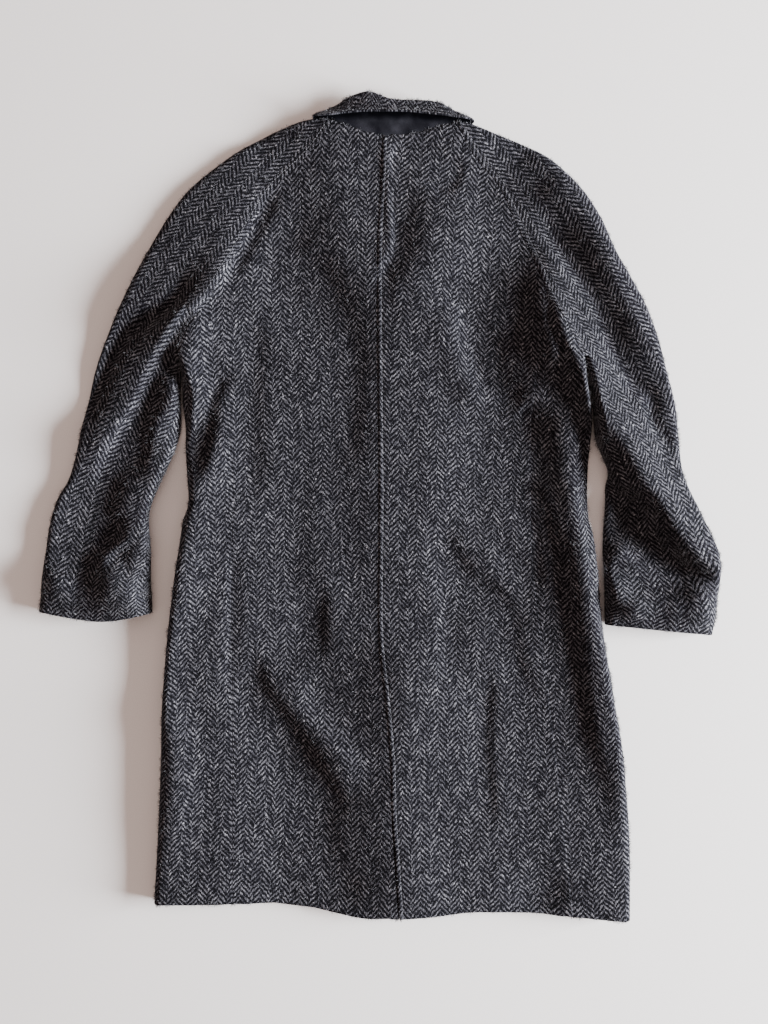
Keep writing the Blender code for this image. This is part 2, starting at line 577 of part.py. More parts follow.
def sleeve_front(side, finish):
    """The sleeve's front half: overarm seam, round the outer edge, and beneath to the underarm."""
    top_line, low_line, outer_line, start = sleeve_frame(side)
    inset = overarm_inset()
    width = np.linalg.norm(outer_line - top_line, axis=1)
    angles = np.radians(ROLL_ANGLES)
    towards_top = unit(top_line - outer_line)[:, None]
    towards_low = unit(low_line - outer_line)[:, None]
    bends = ROLL * (1 - np.cos(angles))
    from_outer = np.stack([inset] + [np.full_like(inset, bend) for bend in bends[:3]], axis=1)
    over = outer_line[:, None] + towards_top * from_outer[..., None]
    low_width = np.linalg.norm(outer_line - low_line, axis=1)
    near = np.minimum(ROLL, low_width / 3)
    spread = low_width[:, None] - ROLL - (low_width - ROLL - near)[:, None] * even(SLEEVE_UNDER_COLS)[1:]
    close = near[:, None] * np.array([UNDERARM_STEP, 0.0])
    bent = np.stack([low_width - bend for bend in bends[3:]], axis=1)
    distance = np.concatenate([bent, spread, close], axis=1)
    below = low_line[:, None] - towards_low * distance[..., None]
    line_share = np.concatenate([1 - from_outer / width[:, None], distance / low_width[:, None]], axis=1)
    xy = cuff_shear(side, np.concatenate([over, below], axis=1), line_share)
    xy = drawn_in(xy, ("first_col", "last_col"))
    cols = over.shape[1]
    from_edge = low_width[:, None] - distance
    roll_low = np.minimum(roll_share(distance, start[:, None]), roll_share(from_edge, 0.0))
    inward_low = np.where((distance < from_edge)[..., None], -towards_low, towards_low)
    parts = (
        surface(xy[:, :cols], "top", roll_share(from_outer, 0.0), np.broadcast_to(towards_top, over.shape)),
        surface(xy[:, cols:], "under", roll_low, inward_low),
    )
    outer = np.concatenate([part[0] for part in parts], axis=1)
    inner = np.concatenate([part[1] for part in parts], axis=1)
    return wall(f"sleeve_front_{side}", outer, inner, finish)


# --- collar ------------------------------------------------------------------------------------

# The collar's band from its left front end, round the back, to its right front end. Foot is on
# the neckline and crown on the roll line; turn is the angle of the band's outer face, 90 up and
# -90 down; fall is how far the turned-over part comes back from the crown.
COLLAR_BAND = (
    # foot x, foot y, crown x, crown y, turn, fall
    (5, 416, 5, 443, -90, 52),
    (-32, 424.5, -26, 450, -90, 50),
    (-54, 444.5, -38, 462, -90, 40),
    (-70, 464, -49, 474, -90, 26),
    (-71, 488, -53, 494, -90, 16),
    (-72, 502, -68, 507, -60, 5.5),
    (-74, 502.5, -72, 508.5, 0, 5),
    (-72, 502.5, -67, 512, 60, 9),
    (-62, 499.5, -53, 521, 90, 17.5),
    (-48, 493.3, -41, 527.5, 90, 23),
    (-30, 487.2, -30, 532, 90, 26.5),
    (-10, 482.5, -13, 534.5, 90, 28.5),
    (12, 479.7, 13, 525, 90, 19.5),
    (38, 481, 40, 522.3, 90, 17.3),
    (62, 486, 62, 522, 90, 19.3),
    (84, 491, 80, 518.3, 90, 18),
    (100, 496, 95, 510, 90, 12.5),
    (110, 494.5, 107, 501.5, 60, 7),
    (113, 492.5, 111, 498.5, 0, 5),
    (110, 491, 106, 496.5, -60, 5.5),
    (107, 480, 92, 486, -90, 16),
    (106.5, 457, 86, 466, -90, 26),
    (85, 441, 71, 460, -90, 40),
    (58, 422, 51, 448, -90, 50),
    (19, 416, 19, 443, -90, 52),
)


def band_frames():
    """Foot, up direction, outward direction, depth and fall of each station of the band."""
    rows = np.array(COLLAR_BAND, float)
    foot, crown, turn, fall = rows[:, :2], rows[:, 2:4], np.radians(rows[:, 4]), rows[:, 5]
    depth = np.linalg.norm(crown - foot, axis=1)
    up = unit(crown - foot)
    left_side = (np.arange(len(rows)) < len(rows) // 2)[:, None]
    out = np.where(left_side, np.stack([-up[:, 1], up[:, 0]], 1), np.stack([up[:, 1], -up[:, 0]], 1))
    top = NECK_HEIGHT - COLLAR_MARGIN - FELT - COLLAR_GAP - COLLAR_CLOTH
    middle, radius = (top + COLLAR_FOLD) / 2, (top - COLLAR_FOLD) / 2
    outward = np.stack([out[:, 0] * np.cos(turn), out[:, 1] * np.cos(turn), np.sin(turn)], axis=1)
    foot3 = np.concatenate([foot, np.full((len(rows), 1), middle)], axis=1) + radius * outward
    up3 = np.concatenate([up, np.zeros((len(rows), 1))], axis=1)
    return foot3, up3, outward, depth, fall


def folded(near_face, depth, fall, foot, up, outward):
    """A line up the stand, round the roll and down the fall, near_face off the stand's inner face."""
    radius = COLLAR_FOLD / 2 - near_face
    centre = depth - COLLAR_FOLD / 2
    places = [(share * centre, near_face) for share in even(3)[:-1]]
    for angle in np.radians(ROLL_ANGLES)[::-1]:
        places.append((centre + radius * math.cos(angle), COLLAR_FOLD / 2 + radius * math.sin(angle)))
    end = depth - fall
    places += [(centre + (end - centre) * share, COLLAR_FOLD - near_face) for share in even(2)[1:]]
    return [foot + up * rise + outward * off for rise, off in places]


def collar(name, near_face, thickness, finish):
    """One layer of the collar, near_face off the stand's inner face."""
    bands = list(zip(*band_frames()))
    grids = []
    for off in (near_face, near_face + thickness):
        lines = [folded(off, depth, fall, foot, up, out) for foot, up, out, depth, fall in bands]
        grids.append(np.array(lines))
    return wall(name, grids[0], grids[1], finish)


# --- trims -------------------------------------------------------------------------------------


def pocket_welt(side, finish):
    """A straight welt beneath the front, near its side edge."""
    ends = np.array(SIDES[side]["pocket"], float)
    along = unit(ends[1] - ends[0])
    across = np.array([along[1], -along[0]])
    steps = even(4)[:, None, None]
    sides = POCKET_WELT_HALF * np.array([-1.0, 0.0, 1.0])[None, :, None]
    xy = ends[0] + (ends[1] - ends[0]) * steps + across * sides
    low = np.concatenate([xy, np.zeros(xy.shape[:2] + (1,))], axis=-1)
    high = low + [0.0, 0.0, CLOTH]
    return wall(f"pocket_welt_{side}", low, high, finish)


def button(number, y, finish):
    """A flat four-hole button with a raised rim, its face down."""
    mesh = bpy.data.meshes.new(f"button_{number}")
    profile = (
        (0.0, BUTTON_DISH),
        (BUTTON_RADIUS - 3 * BUTTON_RIM, BUTTON_DISH),
        (BUTTON_RADIUS - 2 * BUTTON_RIM, 0.0),
        (BUTTON_RADIUS - BUTTON_RIM, 0.0),
        (BUTTON_RADIUS, BUTTON_THICKNESS / 2),
        (BUTTON_RADIUS - BUTTON_RIM, BUTTON_THICKNESS),
        (0.0, BUTTON_THICKNESS),
    )
    mesh.from_pydata(*turned(profile, BUTTON_SIDES))
    mesh.materials.append(finish)
    piece = bpy.data.objects.new(f"button_{number}", mesh)
    piece.location = (CENTRE_FRONT_X * MM, (y - MIDDLE_Y) * MM, 0.0)
    bpy.context.scene.collection.objects.link(piece)
    top = BUTTON_THICKNESS + 1
    drill = ((0.0, -1.0), (BUTTON_HOLE_RADIUS, -1.0), (BUTTON_HOLE_RADIUS, top), (0.0, top))
    for k in range(4):
        angle = math.radians(45 + 90 * k)
        hole = bpy.data.meshes.new(f"hole_{number}_{k}")
        hole.from_pydata(*turned(drill, HOLE_SIDES))
        cutter = bpy.data.objects.new(f"hole_{number}_{k}", hole)
        spread = BUTTON_HOLE_SPREAD * MM
        cutter.location = piece.location
        cutter.location.x += spread * math.cos(angle)
        cutter.location.y += spread * math.sin(angle)
        cutter.hide_render = True
        cutter.display_type = "WIRE"
        bpy.context.scene.collection.objects.link(cutter)
        cut = piece.modifiers.new(f"hole_{k}", "BOOLEAN")
        cut.operation = "DIFFERENCE"
        cut.solver = "EXACT"
        cut.object = cutter
    return piece


def turned(profile, sides):
    """Points and faces of a closed turned shape; the profile runs from axis to axis, low end first."""
    points, faces = [], []
    rings = []
    for radius, z in profile:
        if radius == 0.0:
            rings.append([len(points)])
            points.append((0.0, 0.0, z * MM))
            continue
        ring = []
        for k in range(sides):
            angle = 2 * math.pi * k / sides
            ring.append(len(points))
            points.append((radius * math.cos(angle) * MM, radius * math.sin(angle) * MM, z * MM))
        rings.append(ring)
    for low, high in zip(rings, rings[1:]):
        for k in range(sides):
            n = (k + 1) % sides
            if len(low) == 1:
                faces.append((low[0], high[n], high[k]))
            elif len(high) == 1:
                faces.append((low[k], low[n], high[0]))
            else:
                faces.append((low[k], low[n], high[n], high[k]))
    return points, [], faces


def main():
    for leftover in list(bpy.data.objects):
        bpy.data.objects.remove(leftover)
    tweed = material("herringbone", (0.055, 0.055, 0.062), 0.95)
    felt = material("melton", (0.018, 0.019, 0.026), 0.95)
    horn = material("horn", (0.03, 0.022, 0.018), 0.35)
    for side in SIDES:
        back_panel(side, tweed)
        front_panel(side, tweed)
        sleeve_back(side, tweed)
        sleeve_front(side, tweed)
        pocket_welt(side, tweed)
    collar("upper_collar", 0.0, COLLAR_CLOTH, tweed)
    collar("under_collar", COLLAR_CLOTH + 0.3, FELT, felt)
    for number, y in enumerate(BUTTON_Y, start=1):
        button(number, y, horn)


main()
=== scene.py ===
"""The looks of the wool overcoat: its cloth, folds, seams and fuzz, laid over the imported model.

Tables are in millimetres, in plan: +Y towards the collar, +X towards the wearer's right sleeve,
+Z up, with the frame's origin at (0, MIDDLE_Y). The weave's coordinates on the cloth are in metres.
"""

import math

import bpy
import mathutils
import numpy as np
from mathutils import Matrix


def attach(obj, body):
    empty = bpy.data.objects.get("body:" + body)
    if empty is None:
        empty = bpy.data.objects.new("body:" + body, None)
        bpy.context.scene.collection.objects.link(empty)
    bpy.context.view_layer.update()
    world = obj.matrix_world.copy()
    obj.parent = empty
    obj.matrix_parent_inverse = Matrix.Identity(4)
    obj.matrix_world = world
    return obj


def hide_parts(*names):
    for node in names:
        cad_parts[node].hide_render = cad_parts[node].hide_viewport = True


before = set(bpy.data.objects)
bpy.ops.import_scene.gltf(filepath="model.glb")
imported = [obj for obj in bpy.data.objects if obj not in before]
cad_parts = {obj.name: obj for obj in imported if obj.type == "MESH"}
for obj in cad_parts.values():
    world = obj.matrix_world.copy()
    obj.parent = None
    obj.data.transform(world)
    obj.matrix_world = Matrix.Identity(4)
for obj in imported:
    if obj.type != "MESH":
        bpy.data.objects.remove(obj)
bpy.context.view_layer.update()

MM = 0.001
MIDDLE_Y = -2.7

# Thicknesses and gaps
CLOTH = 2.4
FELT = 1.5
COLLAR_CLOTH = 2.0
COLLAR_GAP = 0.3
SEAM_GAP = 0.1
LAYER_GAP = 0.8

# The upper layer's heights over the floor, and the ramps between them: start and width in plan
BODY_HEIGHT = 9.6
OVERLAP_HEIGHT = 16.0
SKIRT_OVERLAP_HEIGHT = 12.8
SIDE_HEIGHT = 18.0
SLEEVE_HEIGHT = 20.0
NECK_HEIGHT = 18.0
OVERLAP_RAMP = (50.0, 75.0)
SIDE_RAMP = (120.0, 115.0)
SLEEVE_RAMP = (230.0, 60.0)
SKIRT_RAMP = (-190.0, 100.0)
NECK_REACH = 90.0
UNEVEN = ((0.5, 46, 3), (0.28, 19, 5))  # small unevenness: rise, pitch and seed of each wave
LATTICE = 160  # knots of the noise, each way
SOFTNESS = 2.0  # how softly a hollow comes to rest on the layers beneath it

# The under layer's lifts over the collar, the buttons and the pockets
CENTRE_FRONT_X = 12.0
FRONT_LAP = 44.0
NECK_COLUMNS = (-FRONT_LAP - 4.0, 0.0, FRONT_LAP)
NECK_LIFT = 5.2
BUTTON_LIFT = 5.0
BUTTON_Y = (300.0, 185.0, 70.0, -45.0)
BUTTON_STRIP = 36.0
BUTTON_END = (30.0, 60.0)
COLLAR_RAMP = (38.0, 60.0)
POCKET_RAMP = (22.0, 34.0)

# Folds
FOLD_END = 0.22  # a fold dies out over at least this share of its path, at either end
FOLD_TAPER = 1.4  # and over at least this many of its wider half width
FOLD_REACH = 2.6  # nothing of it is left this many half widths away

# Seams: rises in millimetres, grooves as depth and width
WELT_WIDTH = 7.0
WELT_RISE = {"left": 0.12, "right": 0.4}  # how far a sleeve stands up beside its raglan seam
SIDE_STEP = {"left": 0.08, "right": 0.3}  # how far the back stands over what it is sewn to
CENTRE_WELT_WIDTH = 4.2
CENTRE_WELT_RISE = 0.6
CENTRE_GROOVE = (0.15, 1.2)
SIDE_GROOVE = (0.12, 1.4)
OVERARM_GROOVE = (0.8, 1.8)
OVERARM_INSET = (12.0, 38.0)  # the overarm seam's distance from the outer edge, and what it gains
OVERARM_SHIFT = (0.66, 0.25)  # over this part of the sleeve
OVERARM_START = (0.8, 0.1)  # and it shows from here on

# The vent: the left back goes on beneath the right one's edge
VENT_TOP = -383.0
VENT_COLUMNS = (6.0, 14.0, 24.0, 32.0, 40.0)
VENT_HEAD_ROWS = 3
VENT_DROP = -(CLOTH + LAYER_GAP + 0.6)
VENT_EDGE = 2.5
TUCKED = 0.25  # how far the unused columns above the vent lie below the seam

# Grids
RAGLAN_ROWS = 56
FLANGE_COLS = 14
CROTCH_ROWS = 5
BODY_ROWS = 190
BACK_COLS = 58
UNDER_COLS = 12
SLEEVE_ROWS = 84
SLEEVE_COLS = 36
UNDERARM_ROWS = 12  # below the underarm, the body's rolled edge grows over these rows
CUFF_ROWS = 28  # and the cuff's curve over these
ROLL = 10.0
ROLL_ANGLES = tuple(np.linspace(90, -90, 13))
LEAST_ROLL = 0.02
RIM = ((45.0, 0.6), (90.0, 1.0), (135.0, 0.6))  # the rim's middle lines: their angle and bulge
RIM_BULGE = 0.36  # of the cloth's thickness

# Columns beside a seam
SEAM_STEPS = (0.0, 0.5, 1.2, 2.2, 3.5, 5.0, 6.1, 6.8, 7.5, 8.6, 10.0)
CENTRE_STEPS = (0.0, 0.4, 1.0, 1.9, 2.9, 3.6, 4.2, 4.8, 5.5, 7.0, 10.0)
SIDE_STEPS = (0.0, 0.6, 1.5, 3.0, 6.0, 9.5)
STEP_MARGIN = 0.8
FLANGE_STEPS = (0.16, 0.33, 0.6)
CLOSING_STEPS = (0.6, 0.3, 0.1, 0.0)

CENTRE_BACK = ((6, 476.5), (4, 430), (0, 355), (-1, 300), (1, 0), (1, -175), (9, -250), (16, -330),
               (18, -400), (22, -460), (27, -537))

SIDES = {
    "left": {
        "back_neck": ((-60, 497), (-39, 488), (-14, 479.5), (6, 476.5)),
        "back_hem": ((-190, -519), (-135, -519), (-95, -524), (-44, -534), (-12, -539),
            (27, -537)),
        "raglan": ((-60, 497), (-78, 469), (-97, 449), (-137, 413), (-162, 372), (-189, 320),
            (-222, 258)),
        "armhole": ((-222, 258), (-241, 236), (-258, 203)),
        "side_back": ((-222, 258), (-206, 162), (-194, 85), (-190, 20), (-192, -125), (-190, -325),
            (-190, -519)),
        "body_edge": ((-258, 203), (-257, 150), (-255, 115), (-252, 55), (-248, 0), (-255, -22),
            (-260, -60), (-271, -138), (-281, -250), (-286, -395), (-293, -519)),
        "inner": ((-258, 203), (-259, 150), (-259, 110), (-263, 84), (-270, 62), (-288, 22),
            (-300, -12), (-298, -55), (-298, -110), (-296, -141)),
        "outer": ((-88, 502), (-104, 499), (-131, 489), (-171, 469), (-203, 449), (-250, 410),
            (-279, 371), (-301, 332), (-340, 253), (-370, 177), (-383, 123), (-397, 58),
            (-406, 31), (-420, 6), (-429, -24), (-436, -70), (-439, -110), (-443, -139)),
        "cuff": ((-296, -141), (-318, -148), (-354, -152), (-383, -148), (-443, -139)),
        "front_raglan": ((-72, 463), (-125, 400), (-190, 315), (-234, 250), (-258, 203)),
        "front_neck": ((-72, 463), (-62, 440), (-38, 424), (CENTRE_FRONT_X, 414),
            (CENTRE_FRONT_X + FRONT_LAP, 418)),
        "hem": ((-293, -519), (-190, -519), (-44, -534), (CENTRE_FRONT_X + FRONT_LAP, -535)),
        "opposite_underarm": (-366, 190),
        "pocket": ((-237, -30), (-247, -185)),
        "outward": -1,
    },
    "right": {
        "back_neck": ((101, 494.5), (80, 488), (50, 480), (24, 476), (6, 476.5)),
        "back_hem": ((252, -535), (212, -532), (165, -530), (118, -530), (72, -534), (27, -537)),
        "raglan": ((101, 494.5), (118, 461), (137, 437), (156, 415), (179, 363), (201, 316),
            (218, 265)),
        "armhole": ((218, 265), (236, 240), (261, 190)),
        "side_back": ((218, 265), (201, 140), (198, 30), (200, -73), (211, -178), (224, -282),
            (237, -400), (252, -535)),
        "body_edge": ((261, 190), (268, 155), (274, 116), (276, 84), (274, 40), (274, -22),
            (279, -40), (286, -116), (292, -170), (305, -256), (317, -330), (326, -430),
            (327, -540)),
        "inner": ((261, 190), (271, 155), (278, 116), (281, 88), (290, 64), (298, 44), (297, 20),
            (295, -12), (293, -76), (294, -156)),
        "outer": ((125, 492), (150, 484), (190, 469), (225, 449), (265, 410), (290, 371),
            (307, 332), (350, 253), (374, 175), (386, 128), (391, 75), (396, 38), (418, -12),
            (440, -65), (443, -94), (440, -121), (434, -170)),
        "cuff": ((294, -156), (362, -163), (434, -170)),
        "front_raglan": ((108, 455), (150, 395), (200, 315), (238, 245), (261, 190)),
        "front_neck": ((108, 455), (95, 434), (60, 420), (CENTRE_FRONT_X, 414),
            (CENTRE_FRONT_X - FRONT_LAP, 418)),
        "hem": ((327, -540), (252, -535), (118, -530), (56, -535),
            (CENTRE_FRONT_X - FRONT_LAP, -536)),
        "opposite_underarm": (371, 190),
        "pocket": ((258, -36), (268, -190)),
        "outward": 1,
    },
}

# Folds: half width left and right of the path as seen along it, rise, then the path in plan
FOLDS = (
    # left sleeve
    (7.5, 28, 11, -187, 355, -198, 312, -241, 254, -244, 259, -301, 174, -320, 132, -331, 114,
     -361, 69, -385, 3),
    (13, 12.5, -12, -249, 311, -266, 260, -330, 223, -359, 172, -389, 89),
    (22, 58.5, -11.5, -265, 227, -287, 185, -301, 137, -310, 102, -314, 65, -345, 42, -363, -15,
     -350, -39, -394, -93, -379, -139),
    (11.5, 23, 4.5, -281, 183, -257, 132, -284, 116, -298, 70, -298, 30),
    (6, 15.5, -12.5, -280, 208, -256, 163, -250, 129, -265, 61),
    (17, 6, 7.5, -369, -85, -328, -47, -303, -38),
    (18, 36.5, 19.5, -383, -83, -314, -104, -288, -22),
    (18, 14.5, -20.5, -291, -42, -301, -92, -284, -148),
    (30.5, 28, 17, -401, -67, -408, -87, -418, -138),
    # left of the body
    (19.5, 27, 10, -230, 266, -246, 172, -236, 145, -262, 95),
    (12.5, 33, -9, -185, 186, -217, 147, -225, 96, -233, 58, -239, 19),
    (22.5, 19, 7, -204, 162, -218, 80, -231, 26, -239, -23, -246, -86, -265, -151, -291, -232,
     -266, -302, -264, -388, -276, -513),
    # back
    (11, 10, -5, -122, 410, -141, 398, -165, 352, -200, 286),
    (26.5, 37.5, -7.5, -100, 393, -123, 313, -76, 288, -57, 251, -43, 199, -44, 135, -48, 45,
     -40, -11),
    (25.5, 6, -6.5, 20, 423, 23, 346, 18, 318, -8, 280),
    (49.5, 60, 7, 141, 444, 102, 346, 36, 302, 94, 188),
    (14, 24, 6, 103, 269, 93, 223, 134, 116),
    (11.5, 32.5, -4, -69, -96, -82, -142, -78, -215),
    (14.5, 41.5, -6.5, -181, -173, -152, -250, -130, -276, -105, -313, -81, -350, -40, -416),
    (22.5, 46.5, 8, -102, -190, -106, -264, -69, -309, -12, -372),
    (20, 27.5, -2.5, -68, -364, -71, -440, -46, -502, -31, -522),
    (11.5, 6, -2.5, -190, -44, -192, -156, -196, -253),
    (15.5, 31.5, -6, 64, -9, 116, -100, 150, -117, 167, -144, 174, -186, 193, -267),
    (22.5, 54, 6, 120, -7, 142, -79, 160, -122, 167, -168, 212, -253),
    (20.5, 14, -2.5, 81, -89, 90, -151, 91, -243),
    (9.5, 29, -3.5, 143, -195, 140, -256, 137, -322, 142, -371, 143, -437),
    (28, 51.5, -7, 237, -457, 219, -494, 199, -569),
    (6.5, 20.5, -3.5, 161, 8, 199, -24, 208, -124),
    (18, 40, 11, 134, 183, 157, 151, 202, 137, 209, 102),
    (22, 25.5, 17, 201, 251, 238, 144, 250, 86, 251, 20, 241, -40),
    (43.5, 40.5, -11, 191, 175, 177, 71, 241, 13, 194, -61),
    (19.5, 16, -16.5, 9, 443, 54, 440, 108, 415),
    (34.5, 23, -4, -44, 45, -53, -16, -38, -110, -31, -162),
    (23, 41.5, 1.5, 117, -249, 133, -327, 140, -393, 102, -507),
    (21, 35.5, -5.5, -169, 266, -167, 191, -172, 106, -168, -15),
    (60, 58.5, 11, 51, -123, 27, -298, 26, -431, 48, -601),
    (51, 60, 7, 138, -145, 137, -300, 143, -432, 163, -595),
    (6.5, 37.5, -2, -4, 483, 4, 381, 11, 300, 14, 233),
    (20, 24, -8, 149, 233, 147, 171, 194, 123),
    (70, 70, -9, -160, 515, -210, 475, -270, 418, -320, 350, -350, 290),
    (30, 30, -4, -50, 524, -95, 510, -140, 494, -190, 470),
    (60, 60, -4, 130, 530, 180, 505, 235, 462, 285, 408, 320, 345, 350, 285),
    # right of the body
    (6, 18.5, 6, 241, 118, 266, 34, 258, 12, 264, -70, 277, -150, 295, -222, 315, -299, 314, -370,
     314, -477),
    (31, 14.5, 8.5, 214, 81, 220, 14, 250, -63, 262, -151, 275, -241, 292, -327, 310, -394),
    # right sleeve
    (35, 22.5, 20.5, 207, 344, 216, 314, 213, 256, 229, 204, 258, 165, 276, 117, 307, 87, 343, 22,
     378, -32, 481, -126),
    (10.5, 29, -19.5, 206, 297, 220, 224, 239, 172, 266, 91, 276, 35, 337, -2, 373, -64,
     461, -113),
    (21.5, 42, 10, 217, 429, 256, 386, 284, 340, 306, 276, 335, 219, 377, 160),
    (29, 16, -9.5, 207, 402, 224, 362, 255, 309, 283, 266, 303, 208, 346, 131),
    (11, 9, -5, 306, 163, 350, 143, 354, 107, 380, 63),
    (26.5, 16, 13.5, 338, -44, 300, -85, 315, -127, 356, -142),
    (36, 6, -24, 286, 6, 297, -78, 297, -122),
    (21, 27, 20, 416, -87, 411, -130, 422, -174),
    (25.5, 15, 3.5, 182, 462, 228, 429, 217, 373),
    (23.5, 28.5, 13, 328, -108, 359, -133, 411, -131),
    (24, 7.5, 12, 291, 40, 286, -13, 307, -84),
)


# --- curves, distances and heights ---


def norm(vectors):
    return np.linalg.norm(vectors, axis=-1)


def unit(vectors):
    return vectors / np.maximum(np.linalg.norm(vectors, axis=-1, keepdims=True), 1e-12)


def beside(*grids):
    return np.concatenate(grids, axis=1)


def running(steps):
    """Running totals along the last axis, from 0."""
    return np.cumsum(np.insert(steps, 0, 0.0, axis=-1), axis=-1)


def travelled(points):
    return running(norm(np.diff(points, axis=0)))


def blend(first, last, start, end, t):
    return (first * (end - t) + last * (t - start)) / (end - start)


def smooth_curve(points, samples=400):
    """A centripetal Catmull-Rom curve through points."""
    p = np.asarray(points, float)
    p = np.vstack([2 * p[0] - p[1], p, 2 * p[-1] - p[-2]])
    knots = running(np.sqrt(norm(np.diff(p, axis=0))))
    out = []
    for t in np.linspace(knots[1], knots[-2], samples):
        i = int(np.clip(np.searchsorted(knots, t, side="right") - 1, 1, len(p) - 3))
        k, q = knots[i - 1 : i + 3], p[i - 1 : i + 3]
        a = [blend(q[j], q[j + 1], k[j], k[j + 1], t) for j in range(3)]
        b = [blend(a[j], a[j + 1], k[j], k[j + 2], t) for j in range(2)]
        out.append(blend(b[0], b[1], k[1], k[2], t))
    return np.array(out)


def stations(points, shares):
    curve = smooth_curve(points)
    done = travelled(curve)
    wanted = np.asarray(shares, float) * done[-1]
    return np.stack([np.interp(wanted, done, curve[:, k]) for k in range(2)], axis=1)


def at_x(points, x):
    curve = smooth_curve(points)
    order = np.argsort(curve[:, 0])
    return np.stack([x, np.interp(x, curve[order, 0], curve[order, 1])], axis=1)


def even(count):
    return np.linspace(0.0, 1.0, count + 1)


def ease(x):
    x = np.clip(x, 0.0, 1.0)
    return x * x * (3 - 2 * x)


def ramp(x, stretch):
    return ease((x - stretch[0]) / stretch[1])


def bell(x, width):
    return np.exp(-((x / width) ** 2))


def path_place(path, xy):
    """Each point's distance from a path, its share of the way, and 1 or -1 for right or left."""
    path = np.asarray(path, float)
    done = travelled(path)
    best = np.full(xy.shape[:-1], np.inf)
    share, side = np.zeros(xy.shape[:-1]), np.ones(xy.shape[:-1])
    for i in range(len(path) - 1):
        step = path[i + 1] - path[i]
        away = xy - path[i]
        t = np.clip((away @ step) / (step @ step), 0, 1)
        d = norm(away - t[..., None] * step)
        nearer = d < best
        best = np.where(nearer, d, best)
        share = np.where(nearer, (done[i] + t * (done[i + 1] - done[i])) / done[-1], share)
        cross = step[0] * away[..., 1] - step[1] * away[..., 0]
        side = np.where(nearer, np.where(cross > 0, -1.0, 1.0), side)
    return best, share, side


def lattice_noise(xy, pitch, seed):
    """Smooth noise from -1 to 1 that changes over about one pitch."""
    values = np.random.default_rng(seed).uniform(-1, 1, (LATTICE, LATTICE))
    p = xy / pitch + LATTICE / 2
    cell = np.floor(p).astype(int)
    f = p - cell
    f = f * f * f * (f * (f * 6 - 15) + 10)
    i, j = np.moveaxis(np.clip(cell, 0, LATTICE - 2), -1, 0)
    low = values[i, j] * (1 - f[..., 0]) + values[i + 1, j] * f[..., 0]
    high = values[i, j + 1] * (1 - f[..., 0]) + values[i + 1, j + 1] * f[..., 0]
    return low * (1 - f[..., 1]) + high * f[..., 1]


def uneven(xy, waves):
    return sum(rise * lattice_noise(xy, pitch, seed) for rise, pitch, seed in waves)


SMOOTH_FOLDS = [
    (left, right, rise, smooth_curve(np.reshape(path, (-1, 2)), 4 * len(path)))
    for left, right, rise, *path in FOLDS
]


def height(xy):
    """The top of the upper layer, in millimetres above the floor."""
    shape = xy.shape[:-1]
    xy = xy.reshape(-1, 2)
    x, y = xy[:, 0], xy[:, 1]
    across = np.abs(x - CENTRE_FRONT_X)
    overlap = SKIRT_OVERLAP_HEIGHT + (OVERLAP_HEIGHT - SKIRT_OVERLAP_HEIGHT) * ramp(y, SKIRT_RAMP)
    z = BODY_HEIGHT + (overlap - BODY_HEIGHT) * (1 - ramp(across, OVERLAP_RAMP))
    z = z + (SIDE_HEIGHT - BODY_HEIGHT) * ramp(across, SIDE_RAMP)
    z = z + (SLEEVE_HEIGHT - SIDE_HEIGHT) * ramp(across, SLEEVE_RAMP)
    neckline = (SIDES["left"]["outer"][0], CENTRE_BACK[0], SIDES["right"]["outer"][0])
    from_neck = path_place(neckline, xy)[0]
    z = z + (NECK_HEIGHT - z) * ease(1 - from_neck / NECK_REACH)
    for left, right, rise, path in SMOOTH_FOLDS:
        widest = max(left, right)
        reach = FOLD_REACH * widest
        near = np.all((xy > path.min(0) - reach) & (xy < path.max(0) + reach), axis=1)
        distance, share, side = path_place(path, xy[near])
        end = np.clip(FOLD_TAPER * widest / travelled(path)[-1], FOLD_END, 0.5)
        along = ease(share / end) * ease((1 - share) / end)
        z[near] += rise * bell(distance, np.where(side > 0, right, left)) * along
    # nowhere lower than the layers beneath
    lapped = (CLOTH + LAYER_GAP) * (1 - ramp(across, OVERLAP_RAMP))
    least = lift(xy) + 2 * CLOTH + LAYER_GAP + lapped
    z = least + 0.5 * (z - least + np.sqrt((z - least) ** 2 + SOFTNESS))
    return (z + uneven(xy, UNEVEN)).reshape(shape)


def lift(xy):
    """How far the under layer stands off the floor, over collar, buttons and pockets."""
    left, right = SIDES["left"], SIDES["right"]
    neck = [*left["front_neck"][:4], *right["front_neck"][2::-1]]
    neck = [left["outer"][0], *neck, right["outer"][0]]
    z = NECK_LIFT * (1 - ramp(path_place(neck, xy)[0], COLLAR_RAMP))
    strip = 1 - (np.abs(xy[..., 0] - CENTRE_FRONT_X) - 1) / BUTTON_STRIP
    above, below = xy[..., 1] - max(BUTTON_Y), min(BUTTON_Y) - xy[..., 1]
    ends = 1 - ramp(np.maximum(above, below), BUTTON_END)
    z = np.maximum(z, BUTTON_LIFT * np.clip(strip, 0, 1) * ends)
    for side in SIDES.values():
        from_pocket = path_place(side["pocket"], xy)[0]
        z = np.maximum(z, (CLOTH + LAYER_GAP) * (1 - ramp(from_pocket, POCKET_RAMP)))
    return z


def top_layer(xy, roll=1.0, raised=0.0):
    z = height(xy) / 2 * (1 + roll) + raised * roll
    return np.concatenate([xy, z[..., None]], axis=-1)


def under_layer(xy, roll=1.0, raised=0.0):
    z = height(xy) / 2 * (1 - roll) + (lift(xy) + raised) * roll
    return np.concatenate([xy, z[..., None]], axis=-1)


